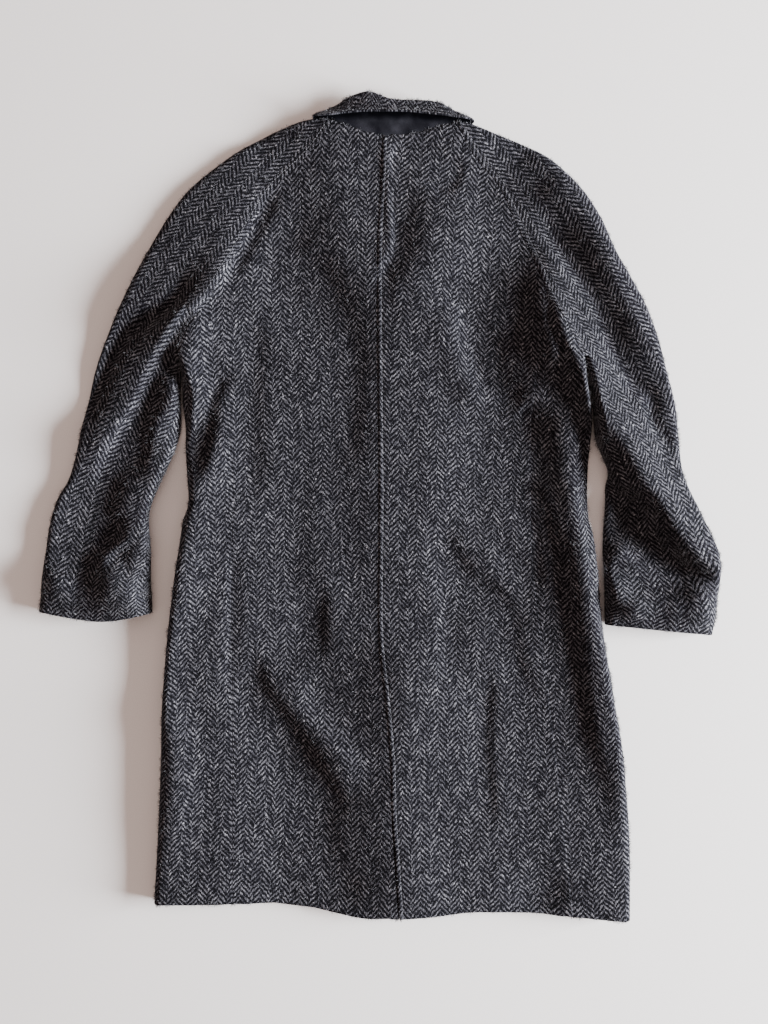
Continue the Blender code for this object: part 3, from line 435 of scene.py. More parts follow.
def coons(left, right, top, bottom):
    """A plan grid, rows by columns, that fits its four edges."""

    def shares(a, b):
        steps = norm(np.diff(a, axis=0)) + norm(np.diff(b, axis=0))
        return running(steps) / steps.sum()

    v = shares(left, right).reshape(-1, 1, 1)
    u = shares(top, bottom).reshape(1, -1, 1)
    sides = (1 - u) * left[:, None] + u * right[:, None]
    ends = (1 - v) * top[None] + v * bottom[None]
    high = (1 - u) * left[0] + u * right[0]
    low = (1 - u) * left[-1] + u * right[-1]
    return sides + ends - ((1 - v) * high + v * low)


def body_shares():
    """The body's rows, as shares of the side-back seam, with one moved to the top of the vent."""
    shares = even(BODY_ROWS)
    top, bottom = SIDES["left"]["side_back"][0][1], SIDES["left"]["side_back"][-1][1]
    vent = (top - VENT_TOP) / (top - bottom)
    nearest = int(np.argmin(np.abs(shares - vent)))
    shares[nearest] = vent
    return shares, nearest


BODY_SHARES, VENT_ROW = body_shares()


def side_stations(side):
    table = SIDES[side]
    return {
        "raglan": stations(table["raglan"], even(RAGLAN_ROWS)),
        "armhole": stations(table["armhole"], even(FLANGE_COLS)),
        "side_back": stations(table["side_back"], BODY_SHARES),
        "front_raglan": stations(table["front_raglan"], even(RAGLAN_ROWS + FLANGE_COLS)),
    }


# --- the weave's coordinates ---

GRAIN_UNIT = 300.0
GRAIN = {
    # Middle; then, for the way across the cloth and the way along it, the millimetres that each of
    # x, y, xx, xy, yy, xxx, xxy, xyy and yyy adds, with x and y in GRAIN_UNITs from the middle
    "body_left": ((0, 0), (305.9, 6.0, 0.2, 4.4, 0.5, -4.9, 4.7, -3.0, -2.4),
                  (-22.4, 296.8, -33.4, -3.7, 2.2, -43.5, 10.9, 4.6, -1.9)),
    "body_right": ((0, 0), (301.0, 0.9, 0.7, -12.3, -4.2, 6.0, 16.1, -3.5, -1.6),
                   (-6.2, 296.1, 82.7, 23.9, 2.8, -59.8, -12.7, -1.7, -1.7)),
    "sleeve_left": ((-300, 150), (256.0, -134.0, 21.1, -48.0, -37.8, 30.8, -78.1, 39.8, 7.9),
                    (136.8, 259.1, -5.7, 87.7, -42.3, -85.6, 154.2, -126.4, 31.3)),
    "sleeve_right": ((300, 150), (316.4, 159.1, -67.7, -72.6, 20.1, -172.3, -199.3, -155.1, -56.2),
                     (-132.8, 269.2, -14.1, -115.6, -35.2, 20.1, 16.4, 70.8, 15.3)),
}


def cloth_grain(panel, xy):
    """Across and along the cloth at points in plan: its columns turn, its weft slants a little."""
    middle, across, along = GRAIN[panel]
    x, y = np.moveaxis((xy - middle) / GRAIN_UNIT, -1, 0)
    terms = np.stack([x, y, x * x, x * y, y * y, x**3, x * x * y, x * y * y, y**3], axis=-1)
    return np.stack([terms @ np.array(across), terms @ np.array(along)], axis=-1)


def with_folds(grid, grain, centre_col):
    """Adds what the folds take up to the across coordinate, going out from one column."""
    flat = norm(np.diff(grid[..., :2], axis=1))
    full = norm(np.diff(grid, axis=1))
    extra = running(full - flat)
    extra = extra - extra[:, centre_col][:, None]
    run = np.sign(grain[:, -1, 0] - grain[:, 0, 0])[:, None]
    grain = grain.copy()
    grain[..., 0] += extra * run
    return grain


# --- pieces of cloth ---

FACES = {}  # each piece's outer points and the ways out of its cloth, for stitches and fuzz


def new_object(name, data):
    made = bpy.data.objects.new(name, data)
    bpy.context.scene.collection.objects.link(made)
    return made


def add_piece(name, points, faces, finish):
    mesh = bpy.data.meshes.new(name)
    mesh.from_pydata(((points - (0.0, MIDDLE_Y, 0.0)) * MM).tolist(), [], faces)
    mesh.materials.append(finish)
    mesh.shade_smooth()
    piece = new_object(name, mesh)
    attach(piece, "root")
    return piece


def normals(grid):
    down, right = np.gradient(grid, axis=0), np.gradient(grid, axis=1)
    return unit(np.cross(right, down))


def cloth(name, grid, grain, nodes, flip=False, slot="herringbone", thickness=CLOTH):
    """One closed piece of cloth: a grid of outer points, its inner face, and a rounded rim.

    Going from row to row on its outside, the columns lie to the right, or with flip to the left.
    """
    rows, cols = grid.shape[:2]
    inward = normals(grid) * (1.0 if flip else -1.0)
    inner = grid + inward * thickness
    FACES[name] = (grid, -inward)
    count = rows * cols
    index = np.arange(count).reshape(rows, cols)
    loop = np.concatenate([index[:, 0], index[-1, 1:], index[-2::-1, -1], index[0, -2:0:-1]])
    nxt = np.concatenate([index[:, 1], index[-2, 1:], index[-2::-1, -2], index[1, -2:0:-1]])
    flat_outer, flat_inner = grid.reshape(-1, 3), inner.reshape(-1, 3)
    middle = (flat_outer[loop] + flat_inner[loop]) / 2
    out = unit(flat_outer[loop] - flat_outer[nxt])
    rings = []
    for angle, bulge in RIM:
        share = math.cos(math.radians(angle))
        towards = (flat_outer[loop] - middle) * share
        rings.append(middle + towards + out * bulge * thickness * RIM_BULGE)
    points = np.concatenate([flat_outer, flat_inner, *rings])
    a, b, c, d = index[:-1, :-1], index[1:, :-1], index[1:, 1:], index[:-1, 1:]
    faces = [np.stack([a, b, c, d], axis=-1).reshape(-1, 4)]
    faces.append(np.stack([a, d, c, b], axis=-1).reshape(-1, 4) + count)
    around = len(loop)
    lines = [loop, *(2 * count + around * k + np.arange(around) for k in range(3)), loop + count]
    for upper, lower in zip(lines, lines[1:]):
        faces.append(np.stack([np.roll(upper, -1), upper, lower, np.roll(lower, -1)], axis=-1))
    faces = np.concatenate(faces)
    if not flip:
        faces = faces[:, ::-1]
    piece = add_piece(name, points, faces.tolist(), FINISHES[slot])
    flat_grain = grain.reshape(-1, 2) * MM
    uv = np.concatenate([flat_grain, flat_grain, *[flat_grain[loop]] * 3])
    layer = piece.data.uv_layers.new(name="weave")
    layer.data.foreach_set("uv", uv[faces.ravel()].ravel())
    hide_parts(*nodes)


def seam_profile(distance, width, rise):
    """How a welted seam stands: raised from its edge to its stitches, which draw it down."""
    edge = 1 - ramp(distance, (0.6 * width, 0.75 * width))
    crest = 0.45 * bell(distance - 0.46 * width, 0.31 * width)
    return rise * (edge + crest - 0.6 * bell(distance - width, 0.9))


def pressed_seam(distance, step):
    """How a pressed seam stands: a slight dip, then a step that levels out."""
    return step * (1 - ramp(distance, (3.0, 9.0))) - (0.08 + 0.4 * step) * bell(distance, 0.7)


def seam_groove(distance, groove):
    return -groove[0] * bell(distance, groove[1])


def back_panel(side):
    """One back, from the raglan and side-back seams to the centre seam, and the left one's vent."""
    table, seams = SIDES[side], side_stations(side)
    outer = np.vstack([seams["raglan"], seams["side_back"][1:]])
    down = travelled(outer)
    neck = stations(table["back_neck"], even(BACK_COLS))
    hem = stations(table["back_hem"], even(BACK_COLS))
    grid = coons(outer, stations(CENTRE_BACK, down / down[-1]), neck, hem)
    level = np.tile([float(table["outward"]), 0.0], (len(grid), 1))
    level[0] = unit(neck[-2] - neck[-1])
    near = np.stack([grid[:, -1] + level * step for step in CENTRE_STEPS[:0:-1]], axis=1)
    to_centre = unit(grid[:, 1] - grid[:, 0])
    far = np.stack([grid[:, 0] + to_centre * step for step in SIDE_STEPS], axis=1)
    span = grid[:, -1:] - grid[:, :1]
    width = norm(span)
    kept = (width - SIDE_STEPS[-1] - CENTRE_STEPS[-1] - 2 * STEP_MARGIN) / width
    begin = grid[:, :1] + (SIDE_STEPS[-1] + STEP_MARGIN) * unit(span)
    squeezed = begin + (grid[:, 1:-1] - grid[:, :1]) * kept[..., None]
    grid = beside(far, squeezed, near, grid[:, -1:])
    grid[:, 0] += SEAM_GAP / 2 * unit(grid[:, 1] - grid[:, 0])
    grid[:, -1] += SEAM_GAP / 2 * level
    from_centre = norm(grid - grid[:, -1:])
    raised = pressed_seam(norm(grid - grid[:, :1]), SIDE_STEP[side])
    if side == "right":
        raised = raised + seam_profile(from_centre, CENTRE_WELT_WIDTH, CENTRE_WELT_RISE)
        points = top_layer(grid, raised=raised)
        grain = with_folds(points, cloth_grain("body_right", grid), -1)
        cloth("back_right_cloth", points, grain, ["back_right"])
        return
    below = np.arange(len(grid)) - (RAGLAN_ROWS + VENT_ROW - VENT_HEAD_ROWS)
    head = ramp(below, (0, VENT_HEAD_ROWS))[:, None]
    step_down = ramp(VENT_EDGE - from_centre, (0, VENT_EDGE)) * head
    raised = raised + seam_groove(from_centre, CENTRE_GROOVE) * (1 - head) + VENT_DROP * step_down
    count = len(VENT_COLUMNS)
    flap = np.repeat(grid[:, -1:], count, axis=1)
    flap[..., 0] += np.array(VENT_COLUMNS) * head + 0.02 * np.arange(1, count + 1) * (1 - head)
    flap_raised = np.repeat(VENT_DROP * head - TUCKED * (1 - head), count, axis=1)
    points = top_layer(beside(grid, flap), raised=beside(raised, flap_raised))
    grain = with_folds(points, cloth_grain("body_left", points[..., :2]), grid.shape[1] - 1)
    cloth("back_left_cloth", points, grain, ["back_left"], flip=True)


def turned_under(name, xy, turn, roll, raised, panel, start_col, nodes, flip):
    """A cloth whose first columns lie on top, and which goes on beneath from column turn."""
    above = top_layer(xy[:, :turn], roll[:, :turn], raised[:, :turn])
    points = beside(above, under_layer(xy[:, turn:], roll[:, turn:], raised[:, turn:]))
    grain = cloth_grain(panel, xy)
    grain[:, turn:, 0] = 2 * grain[:, turn - 1 : turn, 0] - grain[:, turn:, 0]
    cloth(name, points, with_folds(points, grain, start_col), nodes, flip)


def front_panel(side):
    """One front, from the side-back seam round the side and beneath to the lapped edge."""
    table, seams = SIDES[side], side_stations(side)
    out = table["outward"]
    edge = stations(table["body_edge"], BODY_SHARES)
    angles = np.radians(ROLL_ANGLES)
    grown = ease(np.arange(len(edge)) / UNDERARM_ROWS)[:, None]
    rolled = np.repeat(edge[:, None], len(angles), axis=1)
    rolled[..., 0] -= out * ROLL * (1 - np.cos(angles)) * grown
    to_seam = seams["side_back"][-1] - rolled[-1, 0]
    flange_hem = rolled[-1, 0] + to_seam * (1 - even(FLANGE_COLS))[:, None]
    flange = coons(seams["side_back"], rolled[:, 0], seams["armhole"], flange_hem)
    step = flange[:, 1] - flange[:, 0]
    extra = np.stack([flange[:, 0] + step * share for share in FLANGE_STEPS], axis=1)
    flange = beside(flange[:, :1], extra, flange[:, 1:])
    high, low = np.array([table["front_neck"][-1], table["hem"][-1]], float)
    front_edge = high + (low - high) * BODY_SHARES[:, None]
    centre_x = CENTRE_FRONT_X - out * np.array(NECK_COLUMNS)
    raglan = stations(table["front_raglan"], even(UNDER_COLS))
    top = np.vstack([raglan[::-1], at_x(table["front_neck"], centre_x)])
    panel_x = np.linspace(rolled[-1, -1, 0], raglan[0, 0], UNDER_COLS + 1)
    hem = at_x(table["hem"], np.concatenate([panel_x, centre_x]))
    beneath = coons(rolled[:, -1], front_edge, top, hem)
    beneath[:, -len(NECK_COLUMNS) :, 0] = centre_x
    xy = beside(flange, rolled[:, 1:-1], beneath)
    xy[:, 0] += SEAM_GAP / 2 * unit(xy[:, 1] - xy[:, 0])
    first = flange.shape[1] - 1
    roll = np.ones(xy.shape[:2])
    roll[:, first : first + len(angles)] = np.abs(np.sin(angles))
    turn = first + len(angles) // 2 + 1
    raised = np.zeros(xy.shape[:2])
    raised[:, :turn] = seam_groove(norm(xy - xy[:, :1])[:, :turn], SIDE_GROOVE)
    if side == "right":
        raised[:, -len(NECK_COLUMNS) :] = CLOTH + LAYER_GAP
    turned_under(f"front_{side}_cloth", xy, turn, roll, raised, f"body_{side}", 0,
                 [f"front_{side}"], flip=side == "right")


def rolled_off(gap, begin):
    """How much of the full height a sleeve has this far from its edge: it turns over in a roll."""
    to_go = np.maximum(0.0, ROLL * np.cos(begin) - gap) / ROLL
    return np.maximum(LEAST_ROLL, np.sqrt(np.maximum(0.0, 1 - to_go**2)))


def sleeve(side):
    """One raglan sleeve, from its raglan seam over the top, round the outer edge and beneath."""
    table, seams = SIDES[side], side_stations(side)
    above = np.vstack([seams["raglan"], seams["armhole"][1:]])
    crotch = np.repeat(above[-1:], CROTCH_ROWS, axis=0)
    inner = stations(table["inner"], even(SLEEVE_ROWS))[1:]
    top_line = np.vstack([above, crotch, inner])
    low_line = np.vstack([seams["front_raglan"], crotch, inner])
    outer_curve = smooth_curve(table["outer"])
    opposite = int(np.argmin(norm(outer_curve - table["opposite_underarm"])))
    split = travelled(outer_curve)[opposite] / travelled(outer_curve)[-1]
    below = split + (1 - split) * even(CROTCH_ROWS + SLEEVE_ROWS)[1:]
    outer_line = stations(table["outer"], [*even(len(above) - 1) * split, *below])
    # where its edge is sewn to the body the sleeve starts level, and from the crotch on, upright
    start = [*np.full(len(above), 90.0), *np.linspace(90, 0, CROTCH_ROWS + 1)[1:]]
    start = np.radians(start + [0.0] * SLEEVE_ROWS)[:, None]
    width = norm(outer_line - top_line)[:, None]
    low_width = norm(outer_line - low_line)[:, None]
    bends = ROLL * (1 - np.cos(np.radians(ROLL_ANGLES)))[None]
    half = len(ROLL_ANGLES) // 2
    near = np.array([SEAM_STEPS]) * np.minimum(1.0, (width - ROLL) / (2.2 * SEAM_STEPS[-1]))
    spread = near[:, -1:] + (width - ROLL - near[:, -1:]) * even(SLEEVE_COLS)[None, 1:]
    distance = beside(near, spread[:, :-1], width - bends[:, : half + 1])
    close = np.minimum(ROLL, low_width / 3)
    low_spread = low_width - ROLL - (low_width - ROLL - close) * even(UNDER_COLS)[None, 1:]
    low_distance = beside(low_width - bends[:, half + 1 :], low_spread, close * CLOSING_STEPS)
    over = top_line[:, None] + unit(outer_line - top_line)[:, None] * distance[..., None]
    under = low_line[:, None] + unit(outer_line - low_line)[:, None] * low_distance[..., None]
    xy = beside(over, under)
    line_share = beside(distance / width, low_distance / low_width)
    cuff = smooth_curve(table["cuff"])
    along = even(len(cuff) - 1)
    sag = cuff[:, 1] - (cuff[0, 1] + (cuff[-1, 1] - cuff[0, 1]) * along)
    weight = ease(1 + (np.arange(len(xy)) - (len(xy) - 1)) / CUFF_ROWS)[:, None]
    xy[..., 1] += np.interp(line_share[-1], along, sag)[None] * weight
    from_outer = width - distance
    roll_over = np.minimum(rolled_off(distance, start), rolled_off(from_outer, 0.0))
    roll_low = rolled_off(low_distance, start)
    roll_low = np.minimum(roll_low, rolled_off(low_width - low_distance, 0.0))
    welt = seam_profile(distance, WELT_WIDTH, WELT_RISE[side]) * np.sin(start)
    down = np.linspace(0, 1, len(xy))[:, None]
    inset = OVERARM_INSET[0] + OVERARM_INSET[1] * ramp(down, OVERARM_SHIFT)
    overarm = seam_groove(from_outer - inset, OVERARM_GROOVE) * ramp(down, OVERARM_START)
    raised = beside(welt + overarm, np.zeros(low_distance.shape))
    cols = over.shape[1]
    turned_under(f"sleeve_{side}_cloth", xy, cols, beside(roll_over, roll_low), raised,
                 f"sleeve_{side}", cols // 2, [f"sleeve_back_{side}", f"sleeve_front_{side}"],
                 flip=side == "right")


# --- collar ---

COLLAR_MARGIN = 0.8
COLLAR_FOLD = 9.0
COLLAR_SLANT = 6.0
COLLAR_FINENESS = 1.05
FALL_LIFT = 4.0  # how far the fall's edge stands off the back of the neck
COLLAR_DROOP = 8.0  # how far the collar's left end sinks towards the floor
DROOP_RAMP = (-15.0, 90.0)
COLLAR_RIPPLE = ((0.5, 21, 11), (0.25, 8, 12))
COLLAR_COLS = 8  # in the stand and in the fall
COLLAR_FINE = 7  # rows for each row of the band
BAND_PACE = 8
COLLAR_BAND = (
    # foot x, foot y, crown x, crown y, turn, fall
    (5, 416, 5, 443, -90, 52),
    (-32, 424.5, -26, 450, -90, 50),
    (-54, 444.5, -38, 462, -90, 40),
    (-70, 464, -49, 474, -90, 26),
    (-71, 488, -53, 494, -90, 16),
    (-72, 501, -69, 505.5, -60, 5),
    (-75, 501, -74, 505.5, 0, 5.5),
    (-73, 501, -69, 509, 60, 11.5),
    (-62, 499.5, -54, 520, 90, 20),
    (-48, 493, -41, 527.5, 90, 24),
    (-30, 486, -30, 532, 90, 26.5),
    (-10, 480.5, -13, 534.5, 90, 28.5),
    (12, 477.4, 13, 525, 90, 19.5),
    (38, 478.8, 40, 522.3, 90, 17.3),
    (62, 484.5, 62, 522, 90, 19.3),
    (84, 491, 80, 518.3, 90, 18),
    (100, 496, 95, 510, 90, 12.5),
    (110, 494.5, 107, 501.5, 60, 7),
    (113, 492.5, 111, 498.5, 0, 5),
    (110, 491, 106, 496.5, -60, 5.5),
    (107, 480, 92, 486, -90, 16),
    (106.5, 457, 86, 466, -90, 26),
    (85, 441, 71, 460, -90, 40),
    (58, 422, 51, 448, -90, 50),
    (19, 416, 19, 443, -90, 52),
)


def collar(name, near_face, thickness, slot, node):
    """One layer of the collar: its stand, the turn over the top, and its fall."""
    rows = np.array(COLLAR_BAND, float)
    last = len(rows) - 1
    fine = np.linspace(0, last, last * COLLAR_FINE + 1)
    smooth = smooth_curve(beside(np.arange(last + 1.0)[:, None] * BAND_PACE, rows), 900)
    order = np.interp(fine * BAND_PACE, smooth[:, 0], np.arange(len(smooth)))
    rows = [np.interp(order, np.arange(len(smooth)), smooth[:, k + 1]) for k in range(6)]
    foot, crown, fall = np.stack(rows[:2], axis=1), np.stack(rows[2:4], axis=1), rows[5]
    turn = np.radians(np.clip(rows[4], -90, 90))
    depth = norm(crown - foot)
    up = unit(crown - foot)
    left_side = (fine < last / 2)[:, None]
    out = np.stack([-up[:, 1], up[:, 0]], axis=1) * np.where(left_side, 1.0, -1.0)
    top = NECK_HEIGHT - COLLAR_MARGIN - FELT - COLLAR_GAP - COLLAR_CLOTH
    centre_z, radius = (top + COLLAR_FOLD) / 2, (top - COLLAR_FOLD) / 2
    outward = beside(out * np.cos(turn)[:, None], np.sin(turn)[:, None])
    foot3 = beside(foot, np.full((len(foot), 1), centre_z)) + radius * outward
    up3 = beside(up, np.zeros((len(up), 1)))
    bend = COLLAR_FOLD / 2 - near_face
    centre = depth - COLLAR_FOLD / 2
    end = depth - fall
    upper = np.clip(turn, 0, None) / math.radians(90)
    # each column's way up the stand, and how far it stands off it
    places = [(share * centre, near_face) for share in even(COLLAR_COLS)[:-1]]
    for angle in np.radians(ROLL_ANGLES)[::-1]:
        places.append((centre + bend * math.cos(angle), COLLAR_FOLD / 2 + bend * math.sin(angle)))
    for share in even(COLLAR_COLS)[1:]:
        off = COLLAR_FOLD - near_face + FALL_LIFT * share**2 * upper
        places.append((centre + (end - centre) * share, off))
    grid = np.stack(
        [foot3 + up3 * rise[:, None] + (outward.T * off).T for rise, off in places], axis=1
    )
    loose = np.linspace(0, 1, grid.shape[1])[None, :, None]
    grid = grid + uneven(grid[..., :2], COLLAR_RIPPLE)[..., None] * outward[:, None] * loose
    risen = np.stack([rise for rise, _ in places], axis=1) / depth[:, None]
    droop = COLLAR_DROOP * ramp(-grid[..., 0], DROOP_RAMP)
    grid[..., 2] = np.maximum(grid[..., 2] - droop * ease(risen) * upper[:, None], 0.1)
    around = travelled(grid[:, grid.shape[1] // 2])
    across = running(norm(np.diff(grid, axis=1)))
    along = np.repeat(around[:, None], grid.shape[1], axis=1)
    if slot == "melton":
        # the felt's second coordinate counts from the fall's edge; its material paints shade
        # beneath the fall by it
        grain = np.stack([along, across - end[:, None]], axis=-1)
    else:
        c, s = math.cos(math.radians(COLLAR_SLANT)), math.sin(math.radians(COLLAR_SLANT))
        grain = np.stack([along * c + across * s, across * c - along * s], axis=-1)
        grain = grain * COLLAR_FINENESS
    cloth(name, grid, grain, [node], False, slot, thickness)


# --- materials ---


class Nodes:
    """Short ways to add shader nodes to one material, each kind without its ShaderNode."""

    def __init__(self, name):
        self.material = bpy.data.materials.new(name)
        self.material.use_nodes = True
        self.tree = self.material.node_tree
        self.shader = self.tree.nodes["Principled BSDF"]

    def add(self, kind, inputs=(), **settings):
        node = self.tree.nodes.new("ShaderNode" + kind)
        for key, value in settings.items():
            setattr(node, key, value)
        for key, value in dict(inputs).items():
            self.put(node.inputs[key], value)
        return node

    def put(self, socket, value):
        if isinstance(value, bpy.types.NodeSocket):
            self.tree.links.new(value, socket)
        else:
            socket.default_value = value

    def math(self, operation, *values):
        return self.add("Math", dict(enumerate(values)), operation=operation).outputs[0]

    def total(self, *terms):
        """The sum of values, each times its weight."""
        total = 0.0
        for value, weight in terms:
            total = self.math("MULTIPLY_ADD", value, weight, total)
        return total

    def split(self, vector):
        return self.add("SeparateXYZ", {0: vector}).outputs

    def place(self):
        return self.add("TexCoord").outputs["Object"]

    def weave(self):
        return self.add("UVMap", uv_map="weave").outputs[0]

    def noise(self, where, scale, detail=2.0, roughness=0.5, output=0):
        settings = {"Vector": where, "Scale": scale, "Detail": detail, "Roughness": roughness}
        return self.add("TexNoise", settings).outputs[output]

    def curve(self, value, low, high, new_low, new_high, smooth=True):
        node = self.add("MapRange", {0: value, 1: low, 2: high, 3: new_low, 4: new_high})
        node.interpolation_type = "SMOOTHSTEP" if smooth else "LINEAR"
        return node.outputs[0]

    def ramp(self, value, stops):
        node = self.add("ValToRGB", {"Fac": value})
        elements = node.color_ramp.elements
        while len(elements) < len(stops):
            elements.new(0.5)
        for element, (place, colour) in zip(elements, stops):
            element.position = place
            element.color = (*colour, 1.0)
        return node.outputs[0]

    def bump(self, relief, strength, distance):
        settings = {"Height": relief, "Strength": strength, "Distance": distance}
        return self.add("Bump", settings).outputs[0]

    def finish(self, colour, roughness, **others):
        """Sets the shader's own sockets, whose names are written here with _ for each space."""
        for key, value in {"Base_Color": colour, "Roughness": roughness, **others}.items():
            self.put(self.shader.inputs[key.replace("_", " ")], value)
        return self.material


RIB = 0.0126  # one slanting column of the herringbone
REPEAT = 0.00655  # the twill's repeat along the warp
END = 0.0016  # one warp end
STEEP = 0.99  # how far the twill climbs along the warp for each step across it
WANDER = ((42.0, 0.0034), (190.0, 0.0013))  # the scale and the size of the yarns' wandering
DARK_YARN = (0.001, 0.021)
LIGHT_YARN = 0.27
KNOT = 0.25


def tweed(name, woven=True):
    """Herringbone in a dark and a light woollen yarn: the twill turns and breaks at each column."""
    n = Nodes(name)
    uv = n.weave() if woven else n.place()
    shift = uv
    for scale, size in WANDER:
        wander = n.noise(uv, scale, output="Color")
        part = n.add("VectorMath", {0: wander, 1: (-0.5, -0.5, -0.5)}).outputs[0]
        part = n.add("VectorMath", {0: part, "Scale": size}, operation="SCALE").outputs[0]
        shift = n.add("VectorMath", {0: shift, 1: part}).outputs[0]
    u, v, _ = n.split(shift)
    end = n.math("FLOOR", n.math("DIVIDE", u, END))
    # the twill steps from end to end rather than slanting smoothly
    stepped = n.total((n.math("ADD", end, 0.5), 0.4 * END), (u, 0.6))
    column = n.math("FLOOR", n.math("DIVIDE", stepped, RIB))
    slope = n.math("MULTIPLY", n.math("PINGPONG", stepped, RIB), STEEP)
    turned = n.math("MULTIPLY", n.math("FLOORED_MODULO", column, 2.0), 0.5)
    phase = n.math("ADD", n.math("DIVIDE", n.math("ADD", v, slope), REPEAT), turned)
    pick = n.math("FLOOR", phase)
    # along its way each slanting line has its own shade, thickness and place
    ways = (u, 340.0), (pick, 5.37), (column, 9.13)
    ways = dict(enumerate(n.math("MULTIPLY", value, by) for value, by in ways))
    along = n.add("CombineXYZ", ways).outputs[0]
    line = n.split(n.noise(along, 1.0, 2.0, 0.6, output="Color"))
    line_shade, line_place, line_width = (n.math("SUBTRACT", value, 0.5) for value in line)
    wave = n.math("COSINE", n.math("MULTIPLY", n.math("ADD", phase, line_place), 2 * math.pi))
    wave = n.total((line_width, 1.8), (wave, 1.0))
    float_ = n.curve(wave, -0.35, 0.85, 0.0, 1.0)
    # the light yarn is thick and thin, and some floats are nearly lost
    crossing = n.add("CombineXYZ", {0: end, 1: pick}).outputs[0]
    cell = n.add("TexWhiteNoise", {"Vector": crossing}, noise_dimensions="3D")
    heather = n.noise(uv, 480.0, 3.0, 0.75)
    patch = n.noise(uv, 120.0, 3.0, 0.65)
    shade = n.total((cell.outputs["Value"], 0.5), (heather, 1.6), (patch, 1.1), (line_shade, 2.4))
    light = n.math("POWER", n.curve(shade, 0.65, 2.5, 0.12, 1.0, smooth=False), 3.0)
    light = n.math("MULTIPLY", light, LIGHT_YARN)
    dark = n.curve(n.noise(uv, 800.0, 2.0, 0.6), 0.42, 0.78, *DARK_YARN)
    # sparse light knots of wool
    knots = n.add("TexVoronoi", {"Vector": uv, "Scale": 120.0, "Randomness": 1.0})
    chance = n.split(knots.outputs["Color"])[0]
    knot = n.curve(knots.outputs["Distance"], 0.09, 0.17, KNOT, 0.0)
    knot = n.math("MULTIPLY", knot, n.curve(chance, 0.86, 0.94, 0.0, 1.0))
    tone = n.add("Mix", {0: float_, 2: dark, 3: light}).outputs[0]
    colour = n.ramp(n.math("MAXIMUM", tone, knot), (
        (0.0, (0.0, 0.0, 0.0)), (0.02, (0.0197, 0.0194, 0.0245)),
        (0.2, (0.196, 0.194, 0.214)), (1.0, (1.0, 1.0, 1.0))))
    across = n.math("SUBTRACT", n.math("FRACT", n.math("DIVIDE", u, END)), 0.5)
    yarn = n.curve(n.math("ABSOLUTE", across), 0.15, 0.5, 1.0, 0.35)
    relief = n.total((n.math("MULTIPLY", yarn, float_), 0.6), (heather, 0.6))
    return n.finish(colour, 0.92, Normal=n.bump(relief, 0.5, 0.0010), Specular_IOR_Level=0.02,
                    Sheen_Weight=0.01, Sheen_Roughness=0.6, Sheen_Tint=(0.75, 0.78, 0.9, 1.0))


def melton():
    """Felt, rubbed paler in patches, with painted shade: dark beneath the fall's edge, a little
    paler below it down to the neck seam.
    """
    n = Nodes("melton_felt")
    uv = n.weave()
    fibre = n.noise(uv, 700.0, 4.0, 0.75)
    # painted shade: the felt darkens over the last 10 mm before the fall's edge, where the fall
    # shades it, and is a little paler further from it
    beneath = n.curve(n.split(uv)[1], -0.010, 0.0, 0.06, -0.26)
    # the felt's tone: random rubbed patches and fibres, plus the painted shade beneath the fall
    rubbed_and_shaded = n.total((n.noise(uv, 45.0), 0.75), (fibre, 0.25), (beneath, 1.0))
    colour = n.ramp(rubbed_and_shaded, (
        (0.25, (0.0012, 0.0012, 0.0021)), (0.42, (0.0052, 0.0053, 0.0076)),
        (0.56, (0.0115, 0.0116, 0.0152)), (0.75, (0.026, 0.026, 0.033))))
    return n.finish(colour, 0.95, Normal=n.bump(fibre, 0.4, 0.0006), Specular_IOR_Level=0.03)


def horn():
    n = Nodes("horn_button")
    drawn = n.add("Mapping", {0: n.place(), 3: (1.0, 0.25, 1.0)}).outputs[0]
    streaks = n.noise(drawn, 260.0, 5.0, 0.6)
    colour = n.ramp(streaks, (
        (0.3, (0.008, 0.006, 0.005)), (0.6, (0.035, 0.024, 0.017)), (0.85, (0.12, 0.08, 0.05))))
    return n.finish(colour, n.curve(streaks, 0.2, 0.8, 0.25, 0.42))


def paint(name, colour, roughness):
    n = Nodes(name)
    stops = [(at, tuple(min(1.0, c * by) for c in colour)) for at, by in ((0.3, 0.9), (0.7, 1.08))]
    return n.finish(n.ramp(n.noise(n.place(), 900.0, 3.0, 0.6), stops), roughness)


def thread(name, dark, light):
    """Wool whose tone changes from one strand to the next."""
    n = Nodes(name)
    place = n.place()
    tone = n.total((n.noise(place, 900.0, 1.0), 0.7), (n.noise(place, 90.0), 0.3))
    return n.finish(n.ramp(tone, ((0.35, dark), (0.65, light))), 0.85, Specular_IOR_Level=0.05)


# --- stitches and fuzz ---

STITCH = 3.0
STITCH_PITCH = 4.3
STITCH_SHAPE = (  # rings along a stitch: their share of its length, rise and radius
    (0.0, -0.25, 0.1), (0.15, 0.08, 0.24), (0.5, 0.2, 0.3), (0.85, 0.08, 0.24), (1.0, -0.25, 0.1))
STITCH_SIDES = 6
STITCH_FLOOR = 1.0
FUZZ_LENGTH = (1.1, 5.2)
FUZZ_WIDTH = 0.3
FUZZ_SHORTNESS = 2.6  # the higher, the fewer long fibres
FUZZ_CROWD = 14  # how much closer together they are where the cloth turns over an edge
FUZZ_BENEATH = -0.35  # none where the cloth faces the floor more than this
FUZZ_LEAN = 0.75  # how far a fibre keeps to the way out of the cloth
FUZZ_STRAY = 0.62  # and how far it strays
FUZZ_BEND = 0.6
TUFT_PITCH = 6.5
TUFT_LENGTH = (0.3, 1.7)
EDGE_PITCH = 0.3
FIBRE_FLOOR = 0.4
ROOT_FLOOR = 0.6


def seam_line(piece, col, rows=slice(None)):
    grid, outward = FACES[piece]
    return grid[rows, col], outward[rows, col]


